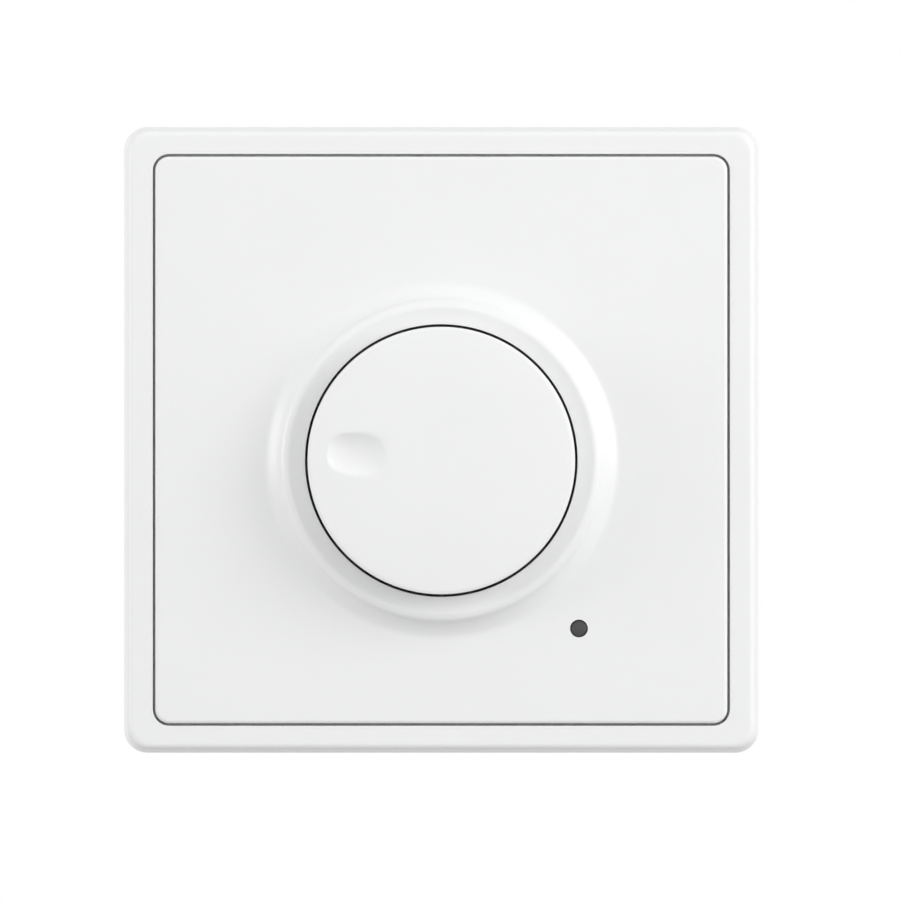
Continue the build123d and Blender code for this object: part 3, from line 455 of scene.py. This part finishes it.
def build_moulded_skin():
    """Moulded plastic: slow clouds of tone, a gloss that wanders, and a fine spark grain from the mould."""
    group, given, result = new_group(
        "moulded_skin",
        [
            ("Colour", "NodeSocketColor", (0.8, 0.8, 0.8, 1)),
            ("Shaded Colour", "NodeSocketColor", (0.7, 0.7, 0.7, 1)),
            ("Roughness", "NodeSocketFloat", 0.35),
            ("Roughness Spread", "NodeSocketFloat", 0.06),
            ("Cloud Scale", "NodeSocketFloat", 90.0),
            ("Grain Scale", "NodeSocketFloat", 4000.0),
        ],
        [("Colour", "NodeSocketColor"), ("Roughness", "NodeSocketFloat"), ("Grain", "NodeSocketFloat")],
    )
    where = add_node(group, "ShaderNodeTexCoord").outputs["Object"]
    cloud = noise(group, where, given.outputs["Cloud Scale"], detail=3.0)
    grain = noise(group, where, given.outputs["Grain Scale"], rough=0.6)
    tone = calc(group, "MULTIPLY", cloud, CLOUD_SHARE)
    speck = calc(group, "MULTIPLY", grain, 1 - CLOUD_SHARE)
    share = calc(group, "ADD", tone, speck)
    colour = blend_colours(group, share, given.outputs["Colour"], given.outputs["Shaded Colour"])
    group.links.new(colour, result.inputs["Colour"])
    group.links.new(wandering(group, given, cloud), result.inputs["Roughness"])
    group.links.new(grain, result.inputs["Grain"])
    return group


def build_worked_metal():
    """Rolled, plated or turned metal: drawn-out streaks, blotches of tarnish and small dints."""
    group, given, result = new_group(
        "worked_metal",
        [
            ("Colour", "NodeSocketColor", (0.7, 0.7, 0.7, 1)),
            ("Dull Colour", "NodeSocketColor", (0.5, 0.5, 0.5, 1)),
            ("Roughness", "NodeSocketFloat", 0.3),
            ("Roughness Spread", "NodeSocketFloat", 0.2),
            ("Streak Stretch", "NodeSocketVector", STREAK_STRETCH),
            ("Streak Scale", "NodeSocketFloat", STREAK_SCALE),
            ("Blotch Scale", "NodeSocketFloat", BLOTCH_SCALE),
        ],
        [("Colour", "NodeSocketColor"), ("Roughness", "NodeSocketFloat"), ("Relief", "NodeSocketFloat")],
    )
    where = add_node(group, "ShaderNodeTexCoord").outputs["Object"]
    drawn = add_node(group, "ShaderNodeVectorMath", operation="MULTIPLY")
    group.links.new(where, drawn.inputs[0])
    group.links.new(given.outputs["Streak Stretch"], drawn.inputs[1])
    streak = noise(group, drawn.outputs[0], given.outputs["Streak Scale"], rough=0.6)
    blotch = noise(group, where, given.outputs["Blotch Scale"], detail=4.0, rough=0.6)
    share = calc(group, "MULTIPLY", calc(group, "ADD", streak, blotch), 0.5)
    colour = blend_colours(group, share, given.outputs["Colour"], given.outputs["Dull Colour"])
    group.links.new(colour, result.inputs["Colour"])
    group.links.new(wandering(group, given, share), result.inputs["Roughness"])
    group.links.new(streak, result.inputs["Relief"])
    return group


MOULDED_SKIN = build_moulded_skin()
WORKED_METAL = build_worked_metal()


def new_finish(name):
    """Empty material with its shader."""
    finish = bpy.data.materials.new(name)
    finish.use_nodes = True
    tree = finish.node_tree
    return finish, tree, tree.nodes["Principled BSDF"]


def place_group(tree, shader, group, **values):
    """Group in a material, which gives the shader its colour and roughness.

    The values are the group's inputs; underscores stand for the blanks in socket names.
    """
    node = add_node(tree, "ShaderNodeGroup", node_tree=group)
    for label, value in values.items():
        node.inputs[label.replace("_", " ")].default_value = value
    tree.links.new(node.outputs["Colour"], shader.inputs["Base Color"])
    tree.links.new(node.outputs["Roughness"], shader.inputs["Roughness"])
    return node


def relief(tree, shader, height, strength, depth):
    """Bump of a depth in millimetres from a height output."""
    bump = add_node(tree, "ShaderNodeBump")
    bump.inputs["Strength"].default_value = strength
    bump.inputs["Distance"].default_value = depth * MM
    tree.links.new(height, bump.inputs["Height"])
    tree.links.new(bump.outputs["Normal"], shader.inputs["Normal"])


def plastic(name, colour, shaded, roughness, spread, clouds, grain, depth, coat):
    """Moulded plastic finish."""
    finish, tree, shader = new_finish(name)
    skin = place_group(
        tree,
        shader,
        MOULDED_SKIN,
        Colour=(*colour, 1),
        Shaded_Colour=(*shaded, 1),
        Roughness=roughness,
        Roughness_Spread=spread,
        Cloud_Scale=clouds,
        Grain_Scale=grain,
    )
    relief(tree, shader, skin.outputs["Grain"], GRAIN_STRENGTH, depth)
    shader.inputs["Coat Weight"].default_value = coat
    return finish


def metal(name, colour, dull, roughness, spread):
    """Worked metal finish, with the group's own streaks and blotches."""
    finish, tree, shader = new_finish(name)
    skin = place_group(
        tree,
        shader,
        WORKED_METAL,
        Colour=(*colour, 1),
        Dull_Colour=(*dull, 1),
        Roughness=roughness,
        Roughness_Spread=spread,
    )
    shader.inputs["Metallic"].default_value = 1.0
    relief(tree, shader, skin.outputs["Relief"], STREAK_STRENGTH, STREAK_DEPTH)
    return finish


FINISHES = {row[0]: plastic(*row) for row in PLASTICS}
FINISHES.update({row[0]: metal(*row) for row in METALS})

for part in frame["record"]["subparts"]:
    slots = frame["nodes"][part["node"]].data.materials
    slots.clear()
    slots.append(FINISHES[part["material_slot"]])


# Pieces


def make_surround():
    """Square surround: its closed cross-section, eased at every corner, is carried round rounded rectangles.

    A station holds half width, half height, corner radius and height.
    """
    top_inset = SURROUND_RISE * math.tan(SURROUND_DRAFT)
    width = SURROUND_HALF_WIDTH
    height = SURROUND_HALF_HEIGHT
    mouth_width = PLATE_HALF_WIDTH + PLATE_CLEARANCE
    mouth_height = PLATE_HALF_HEIGHT + PLATE_CLEARANCE
    inner_width = width - SURROUND_WALL
    inner_height = height - SURROUND_WALL
    rim_middle = (width - SURROUND_WALL / 2, height - SURROUND_WALL / 2, SURROUND_CORNER, 0)
    corners = [
        rim_middle,
        (width, height, SURROUND_CORNER, 0),
        (width - top_inset, height - top_inset, SURROUND_CORNER - top_inset, SURROUND_RISE),
        (mouth_width, mouth_height, MOUTH_CORNER, SURROUND_RISE),
        (mouth_width, mouth_height, MOUTH_CORNER, PLATE_FOOT),
        (RIB_INNER, RIB_INNER, RIB_CORNER, PLATE_FOOT),
        (RIB_INNER, RIB_INNER, RIB_CORNER, RIB_FOOT),
        (RIB_OUTER, RIB_OUTER, RIB_CORNER, RIB_FOOT),
        (RIB_OUTER, RIB_OUTER, RIB_CORNER, LEDGE_REAR),
        (inner_width, inner_height, SURROUND_CORNER, LEDGE_REAR),
        (inner_width, inner_height, SURROUND_CORNER, 0),
        rim_middle,
    ]
    cuts = [MOULD_EDGE, SURROUND_EDGE, MOUTH_EDGE] + [MOULD_EDGE] * 7
    stations = rounded_profile(corners, cuts)[:-1]
    across, up = rounded_outline(*stations[:, :3].T)
    points, number = grid_points(across, stations[:, 3:], up)
    faces = ring_faces(number, closed=True)
    make_piece("surround", points, [faces], "frame", "mechanism", "white_plastic")


def collar_profile():
    """Collar from the well's mouth to the plate: the height is the running sum of the slope's tangent.

    The slope is read from a short table of radii. What falls outside the crest is scaled so that it ends on
    the plate, and the rows are spread evenly along the curve.
    """
    radius = np.linspace(WELL_R, COLLAR_BASE_R, COLLAR_SAMPLES)
    fall = np.tan(np.radians(np.interp(radius, *np.transpose(COLLAR_SLOPES))))
    step = np.concatenate([[0], (fall[1:] + fall[:-1]) / 2 * np.diff(radius)])
    rise = -np.minimum(step, 0).cumsum()
    drop = np.maximum(step, 0).cumsum()
    height = COLLAR_START + rise - drop * (COLLAR_START + rise[-1] - PLATE_TOP) / drop[-1]
    along = np.concatenate([[0], np.hypot(np.diff(radius), np.diff(height)).cumsum()])
    even = np.linspace(0, along[-1], COLLAR_ROWS)
    return np.stack([np.interp(even, along, radius), np.interp(even, along, height)], axis=1)


def plate_outline(inset):
    """The plate's outline, one row for each inset from its sides; the corners keep a least radius."""
    inset = np.atleast_1d(inset)
    radius = np.maximum(PLATE_CORNER - inset, PLATE_LEAST_CORNER)
    return rounded_outline(PLATE_HALF_WIDTH - inset, PLATE_HALF_HEIGHT - inset, radius)


def open_lens_hole(points, number, first_front, last_rear):
    """Lens hole in the plate's grid: the hole's points, the hole's faces and the grid's faces that stay.

    The front flat's rows count up from first_front, and the rear flat's rows count down from last_rear. A
    block of quads round the lens is left out of both. Rings pass from the front block's border to the circle,
    down the wall and out to the rear block's border.
    """
    flat = points[number[first_front:first_front + FRONT_ROWS]]
    away = np.hypot(flat[..., 0] - LENS_X, flat[..., 2] - LENS_Z)
    row, column = np.unravel_index(np.argmin(away), away.shape)
    block = np.arange(-LENS_BLOCK, LENS_BLOCK + 1)
    columns = column + block
    front_rows = first_front + row + block
    rear_rows = last_rear - row - block

    def border(rows):
        """Point numbers once round a block."""
        spots = number[np.ix_(rows, columns)]
        return np.concatenate([spots[0, :-1], spots[:-1, -1], spots[-1, :0:-1], spots[:0:-1, 0]])

    front_border = border(front_rows)
    across = points[front_border, 0] - LENS_X
    up = points[front_border, 2] - LENS_Z
    turn = np.arctan2(up, across)
    reach = np.hypot(up, across)
    inward = np.linspace(0, 1, LENS_RINGS + 1)[1:, None]
    front_reach = reach + (LENS_HOLE_R - reach) * inward
    reach = np.vstack([front_reach, front_reach[::-1]])
    height = np.repeat([PLATE_TOP, PLATE_REAR], LENS_RINGS)[:, None]
    spots, rings = grid_points(LENS_X + reach * np.cos(turn), height, LENS_Z + reach * np.sin(turn))
    rings = np.vstack([front_border, len(points) + rings, border(rear_rows)])

    faces = ring_faces(number, closed=True)
    face_row, face_column = np.divmod(np.arange(len(faces)), number.shape[1])
    in_columns = (face_column >= columns[0]) & (face_column < columns[-1])
    in_front = (face_row >= front_rows[0]) & (face_row < front_rows[-1])
    in_rear = (face_row >= rear_rows[-1]) & (face_row < rear_rows[0])
    return spots, ring_faces(rings, closed=False), faces[~(in_columns & (in_front | in_rear))]


def make_plate():
    """Centre plate in one skin: rings about the knob's axis, then rings out to the plate's outline and back.

    A ray runs from the knob's axis to each point of the outline. On the flats a ring is the mix of the
    collar's circle and the outline, both cut by the same rays.
    """
    outline_x, outline_z = plate_outline(0)
    ray = np.arctan2(outline_z[0] - KNOB_Z, outline_x[0])

    def circle(radius):
        """Circles about the knob's axis, cut by the rays."""
        radius = np.atleast_1d(radius)[:, None]
        return radius * np.cos(ray), KNOB_Z + radius * np.sin(ray)

    collar = collar_profile()[COLLAR_FIRST_ROW:]
    well = rounded_profile(
        [
            (WELL_OUTER_R + WELL_LEAD, PLATE_REAR),
            (WELL_OUTER_R, PLATE_REAR),
            (WELL_OUTER_R, WELL_BACK),
            (BUSH_HOLE_R, WELL_BACK),
            (BUSH_HOLE_R, WELL_FLOOR),
            (WELL_R, WELL_FLOOR),
            (WELL_R, COLLAR_START),
            tuple(collar[0]),
        ],
        [MOULD_EDGE] * 4 + [WELL_FILLET, WELL_MOUTH_EDGE],
    )
    rings = np.vstack([well, collar[1:]])
    edge = rounded_profile(
        [
            (PLATE_EDGE_START, PLATE_TOP),
            (0, PLATE_TOP),
            (0, PLATE_FOOT),
            (PLATE_RIM, PLATE_FOOT),
            (PLATE_RIM, PLATE_REAR),
        ],
        [PLATE_EDGE, MOULD_EDGE, MOULD_EDGE],
    )[1:]
    share = np.linspace(0, 1, FRONT_ROWS + 1)[1:, None]
    ring_x, ring_z = circle(rings[:, 0])
    base_x, base_z = circle(COLLAR_BASE_R)
    start_x, start_z = plate_outline(PLATE_EDGE_START)
    flat_x = base_x + (start_x - base_x) * share
    flat_z = base_z + (start_z - base_z) * share
    edge_x, edge_z = plate_outline(edge[:, 0])
    across = np.vstack([ring_x, flat_x, edge_x, flat_x[:REAR_ROWS][::-1]])
    up = np.vstack([ring_z, flat_z, edge_z, flat_z[:REAR_ROWS][::-1]])
    height = np.concatenate([
        rings[:, 1],
        np.full(FRONT_ROWS, PLATE_TOP),
        edge[:, 1],
        np.full(REAR_ROWS, PLATE_REAR),
    ])
    points, number = grid_points(across, height[:, None], up)
    hole_points, hole, skin = open_lens_hole(points, number, len(rings), len(across) - 1)
    points = np.vstack([points, hole_points])
    make_piece("plate", points, [skin, hole], "centre_plate", "mechanism", "white_plastic")


def knob_crown(radius):
    """Height of the knob's face without its dimple: it falls from the top with a high power of the radius."""
    return KNOB_TOP - KNOB_CROWN * (radius / KNOB_R) ** KNOB_CROWN_POWER


def make_knob():
    """Knob in one skin on rays from the middle of its finger dimple.

    The dimple is a superellipse whose depth is its full depth times one less the square of the share of its
    reach. Beyond it the rings pass over to the rim's circle on the crowned face. The rim, the skirt and the
    hollow rear are rings about the axis, and the bore has a flat on its upper side.
    """
    middle_x = DIMPLE_OUT * math.cos(DIMPLE_TURN)
    middle_z = DIMPLE_OUT * math.sin(DIMPLE_TURN)
    ray = np.linspace(0, 2 * np.pi, KNOB_RAYS, endpoint=False)
    ray_x = np.cos(ray)
    ray_z = np.sin(ray)
    dimple_reach = superellipse_reach(ray - DIMPLE_TURN, DIMPLE_HALF_LENGTH, DIMPLE_HALF_WIDTH, DIMPLE_POWER)
    band_r = KNOB_R - KNOB_BAND
    face_r = band_r - 2 * KNOB_BAND_EDGE
    facing = middle_x * ray_x + middle_z * ray_z
    rim_reach = np.sqrt(facing**2 + face_r**2 - DIMPLE_OUT**2) - facing
    inner = np.linspace(0, 1, DIMPLE_ROWS + 1)[1:, None]
    outer = np.linspace(0, 1, FACE_ROWS + 1)[1:, None]
    reach = np.vstack([dimple_reach * inner, dimple_reach + (rim_reach - dimple_reach) * outer])
    face_x = middle_x + reach * ray_x
    face_z = middle_z + reach * ray_z
    hollow = np.vstack([DIMPLE_DEPTH * (1 - inner**2), np.zeros((FACE_ROWS, 1))])
    face_h = knob_crown(np.hypot(face_x, face_z)) - hollow

    turn = np.arctan2(face_z[-1], face_x[-1])
    rings = rounded_profile(
        [
            (face_r, knob_crown(face_r)),
            (band_r, knob_crown(band_r)),
            (KNOB_R, knob_crown(band_r) - KNOB_BAND_FALL),
            (KNOB_R, KNOB_SKIRT),
            (KNOB_R - KNOB_WALL, KNOB_SKIRT),
            (KNOB_R - KNOB_WALL, KNOB_FACE_REAR),
            (HUB_R, KNOB_FACE_REAR),
            (HUB_R, HUB_FOOT),
            (BORE_R, HUB_FOOT),
            (BORE_R, KNOB_FACE_REAR),
            (BORE_R / 2, KNOB_FACE_REAR),
        ],
        [KNOB_BAND_EDGE, KNOB_EDGE] + [MOULD_EDGE] * 7,
    )[1:]
    ring_x = rings[:, :1] * np.cos(turn)
    ring_z = rings[:, :1] * np.sin(turn)
    in_bore = rings[:, :1] < BORE_R + MOULD_EDGE
    ring_z = np.where(in_bore, np.minimum(ring_z, BORE_FLAT), ring_z)
    across = np.vstack([face_x, ring_x])
    up = np.vstack([face_z, ring_z]) + KNOB_Z
    height = np.vstack([face_h, np.broadcast_to(rings[:, 1:], ring_x.shape)])
    points, number = grid_points(across, height, up)
    poles = [
        (middle_x, knob_crown(DIMPLE_OUT) - DIMPLE_DEPTH, KNOB_Z + middle_z),
        (0, KNOB_FACE_REAR, KNOB_Z),
    ]
    make_piece("knob_cap", np.vstack([points, poles]), capped_faces(number), "knob", "knob", "white_plastic")


def make_lens():
    """Indicator lens: a low dome, one less the square of the radius, on a round pin with a square flange.

    Circle and square are both superellipses, and a station holds reach, power and height.
    """
    turn = np.linspace(0, 2 * np.pi, LENS_RAYS, endpoint=False)
    dome = np.linspace(0, LENS_R - MOULD_EDGE, LENS_DOME_ROWS + 1)[1:]
    dome_h = LENS_TOP - LENS_DOME * (dome / LENS_R) ** 2
    dome_stations = np.stack([dome, np.full_like(dome, LENS_PIN_POWER), dome_h], axis=1)
    pin_stations = rounded_profile(
        [
            dome_stations[-1],
            (LENS_R, LENS_PIN_POWER, LENS_TOP - LENS_DOME),
            (LENS_R, LENS_PIN_POWER, PLATE_REAR),
            (LENS_FLANGE, LENS_FLANGE_POWER, PLATE_REAR),
            (LENS_FLANGE, LENS_FLANGE_POWER, LENS_FLANGE_REAR),
            (LENS_FLANGE / 2, LENS_PIN_POWER, LENS_FLANGE_REAR),
        ],
        [LENS_EDGE, LENS_ROOT, LENS_EDGE, LENS_EDGE],
    )[1:]
    half, power, height = np.vstack([dome_stations, pin_stations]).T[..., None]
    reach = superellipse_reach(turn, half, half, power)
    points, number = grid_points(LENS_X + reach * np.cos(turn), height, LENS_Z + reach * np.sin(turn))
    points = np.vstack([points, (LENS_X, LENS_TOP, LENS_Z), (LENS_X, LENS_FLANGE_REAR, LENS_Z)])
    make_piece("lens_button", points, capped_faces(number), "indicator_lens", "mechanism", "smoked_lens")


def make_leaf():
    """Return leaf: a strip bowed to the circle through its feet and its crest.

    The circle's radius is (span^2 + bow^2) / (2 bow), with span half the strip's. The strip's section is a
    superellipse, carried along the arc on the arc's own normals.
    """
    foot = BOARD_FACE + LEAF_T / 2
    bow = LEAF_CREST - foot
    radius = (LEAF_HALF_SPAN**2 + bow**2) / (2 * bow)
    half_turn = math.asin(LEAF_HALF_SPAN / radius)
    turn = np.linspace(-half_turn, half_turn, LEAF_STEPS + 1)[:, None]
    around = np.linspace(0, 2 * np.pi, LEAF_RAYS, endpoint=False)
    sine = np.sin(around)
    cosine = np.cos(around)
    out = LEAF_T / 2 * np.sign(cosine) * np.abs(cosine) ** (2 / LEAF_POWER)
    up = LEAF_HALF_WIDTH * np.sign(sine) * np.abs(sine) ** (2 / LEAF_POWER)
    across = (radius + out) * np.sin(turn)
    height = LEAF_CREST - radius + (radius + out) * np.cos(turn)
    points, number = grid_points(across, height, KNOB_Z + up)
    points = np.vstack([points, (-LEAF_HALF_SPAN, foot, KNOB_Z), (LEAF_HALF_SPAN, foot, KNOB_Z)])
    leaf = make_piece(
        "switch_leaf", points, capped_faces(number), "switch_spring", "mechanism", "spring_steel"
    )
    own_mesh(leaf)


def soften(node, width):
    """Small bevel on a CAD node's sharp edges, once its loose triangles are joined."""
    piece = frame["nodes"][node]
    weld = piece.modifiers.new("join", "WELD")
    weld.merge_threshold = JOIN_WITHIN * MM
    bevel = piece.modifiers.new("edges", "BEVEL")
    bevel.width = width * MM
    bevel.segments = BEVEL_SEGMENTS
    bevel.limit_method = "ANGLE"
    bevel.angle_limit = BEVEL_FROM
    bevel.use_clamp_overlap = True


make_surround()
make_plate()
make_knob()
make_lens()
make_leaf()
for node, width in BEVEL_WIDTHS.items():
    soften(node, width)


# Studio


def seen_by(tree, *rays):
    """Output that is one for any of the given kinds of rays."""
    path = add_node(tree, "ShaderNodeLightPath").outputs
    seen = path[rays[0]]
    for ray in rays[1:]:
        seen = calc(tree, "MAXIMUM", seen, path[ray])
    return seen


def floor_finish():
    """Pale matt grey that keeps shadows and glows a little for the camera.

    Far out it passes to the white of the background, and a camera below the floor sees through it.
    """
    finish, tree, shader = new_finish("pale_floor")
    where = add_node(tree, "ShaderNodeTexCoord").outputs["Object"]
    pale, dark = ((grey, grey, grey, 1) for grey in FLOOR_GREYS)
    colour = blend_colours(tree, noise(tree, where, FLOOR_CLOUDS), pale, dark)
    tree.links.new(colour, shader.inputs["Base Color"])
    shader.inputs["Roughness"].default_value = FLOOR_ROUGHNESS
    shader.inputs["Specular IOR Level"].default_value = 0.0

    seen = seen_by(tree, "Is Camera Ray", "Is Glossy Ray")
    glow = add_node(tree, "ShaderNodeEmission")
    tree.links.new(calc(tree, "MULTIPLY", seen, FLOOR_GLOW), glow.inputs["Strength"])
    near = add_node(tree, "ShaderNodeAddShader")
    tree.links.new(shader.outputs[0], near.inputs[0])
    tree.links.new(glow.outputs[0], near.inputs[1])

    away = add_node(tree, "ShaderNodeVectorMath", operation="LENGTH")
    tree.links.new(where, away.inputs[0])
    fade = add_node(tree, "ShaderNodeMapRange", interpolation_type="SMOOTHSTEP")
    fade.inputs["From Min"].default_value, fade.inputs["From Max"].default_value = FLOOR_FADE
    tree.links.new(away.outputs["Value"], fade.inputs["Value"])
    white = add_node(tree, "ShaderNodeEmission").outputs[0]
    white_share = calc(tree, "MULTIPLY", fade.outputs["Result"], seen)
    upper = blend_shaders(tree, white_share, near.outputs[0], white)

    underside = add_node(tree, "ShaderNodeNewGeometry").outputs["Backfacing"]
    clear_share = calc(tree, "MULTIPLY", underside, seen_by(tree, "Is Camera Ray"))
    clear = add_node(tree, "ShaderNodeBsdfTransparent").outputs[0]
    surface = blend_shaders(tree, clear_share, upper, clear)
    tree.links.new(surface, tree.nodes["Material Output"].inputs["Surface"])
    return finish


def make_floor():
    """Floor below the part: a disc of rings whose radii grow with the square of their number."""
    level = -SURROUND_HALF_HEIGHT - FLOOR_DROP
    radius = np.linspace(0, 1, FLOOR_RINGS + 1)[1:, None] ** 2 * FLOOR_R
    turn = np.linspace(0, 2 * np.pi, FLOOR_RAYS, endpoint=False)
    points, number = grid_points(radius * np.cos(turn), radius * np.sin(turn), level)
    faces = ring_faces(number, closed=False).tolist() + fan_faces(number[0], len(points)).tolist()
    mesh = bpy.data.meshes.new("floor")
    mesh.from_pydata(np.vstack([points, (0, 0, level)]) * MM, [], faces)
    mesh.materials.append(floor_finish())
    floor = bpy.data.objects.new("floor", mesh)
    bpy.context.scene.collection.objects.link(floor)


def make_room():
    """Soft light all round, weaker from the wall's side, which the camera and clear reflections see as white.

    Its strength passes evenly from front to rear with the direction's share along the wall's normal.
    """
    world = bpy.data.worlds.new("room")
    world.use_nodes = True
    tree = world.node_tree
    light = tree.nodes["Background"]
    light.inputs["Color"].default_value = (1, 1, 1, 1)
    parts = add_node(tree, "ShaderNodeSeparateXYZ")
    tree.links.new(add_node(tree, "ShaderNodeTexCoord").outputs["Generated"], parts.inputs[0])
    depth = add_node(tree, "ShaderNodeMapRange")
    depth.inputs["From Min"].default_value = -1
    depth.inputs["To Min"].default_value = ROOM_FRONT
    depth.inputs["To Max"].default_value = ROOM_REAR
    tree.links.new(parts.outputs["Y"], depth.inputs["Value"])
    tree.links.new(depth.outputs["Result"], light.inputs["Strength"])
    white = add_node(tree, "ShaderNodeBackground")
    white.inputs["Color"].default_value = (1, 1, 1, 1)
    white.inputs["Strength"].default_value = 1.0
    seen = seen_by(tree, "Is Camera Ray", "Is Glossy Ray", "Is Transmission Ray")
    surface = blend_shaders(tree, seen, light.outputs[0], white.outputs[0])
    tree.links.new(surface, tree.nodes["World Output"].inputs["Surface"])
    bpy.context.scene.world = world


def make_lamp(name, towards, size, level, mirrored):
    """Square soft lamp that looks at the part; level is the light it gives a surface that faces it."""
    lamp = bpy.data.lights.new(name, "AREA")
    lamp.shape = "SQUARE"
    lamp.size = size
    lamp.energy = level * math.pi * math.pi * LAMP_DISTANCE**2
    holder = bpy.data.objects.new(name, lamp)
    holder.location = np.array(towards, float) / np.linalg.norm(towards) * LAMP_DISTANCE
    holder.rotation_mode = "QUATERNION"
    holder.rotation_quaternion = holder.location.to_track_quat("Z", "Y")
    holder.visible_glossy = mirrored
    bpy.context.scene.collection.objects.link(holder)


def make_camera():
    """Camera straight in front, placed so that the part lies where the photograph shows it."""
    camera = bpy.data.cameras.new("photo_camera")
    camera.type = "ORTHO"
    camera.ortho_scale = PICTURE * PIXEL * MM
    holder = bpy.data.objects.new("photo_camera", camera)
    across = (PICTURE / 2 - MIDDLE_ACROSS) * PIXEL * MM
    up = (MIDDLE_DOWN - PICTURE / 2) * PIXEL * MM
    holder.location = (across, -CAMERA_BACK, up)
    holder.rotation_euler = (math.pi / 2, 0, 0)
    bpy.context.scene.collection.objects.link(holder)
    bpy.context.scene.camera = holder


make_floor()
make_room()
for lamp in LAMPS:
    make_lamp(*lamp)
make_camera()

bpy.context.scene.view_settings.view_transform = "Standard"

bpy.context.view_layer.update()
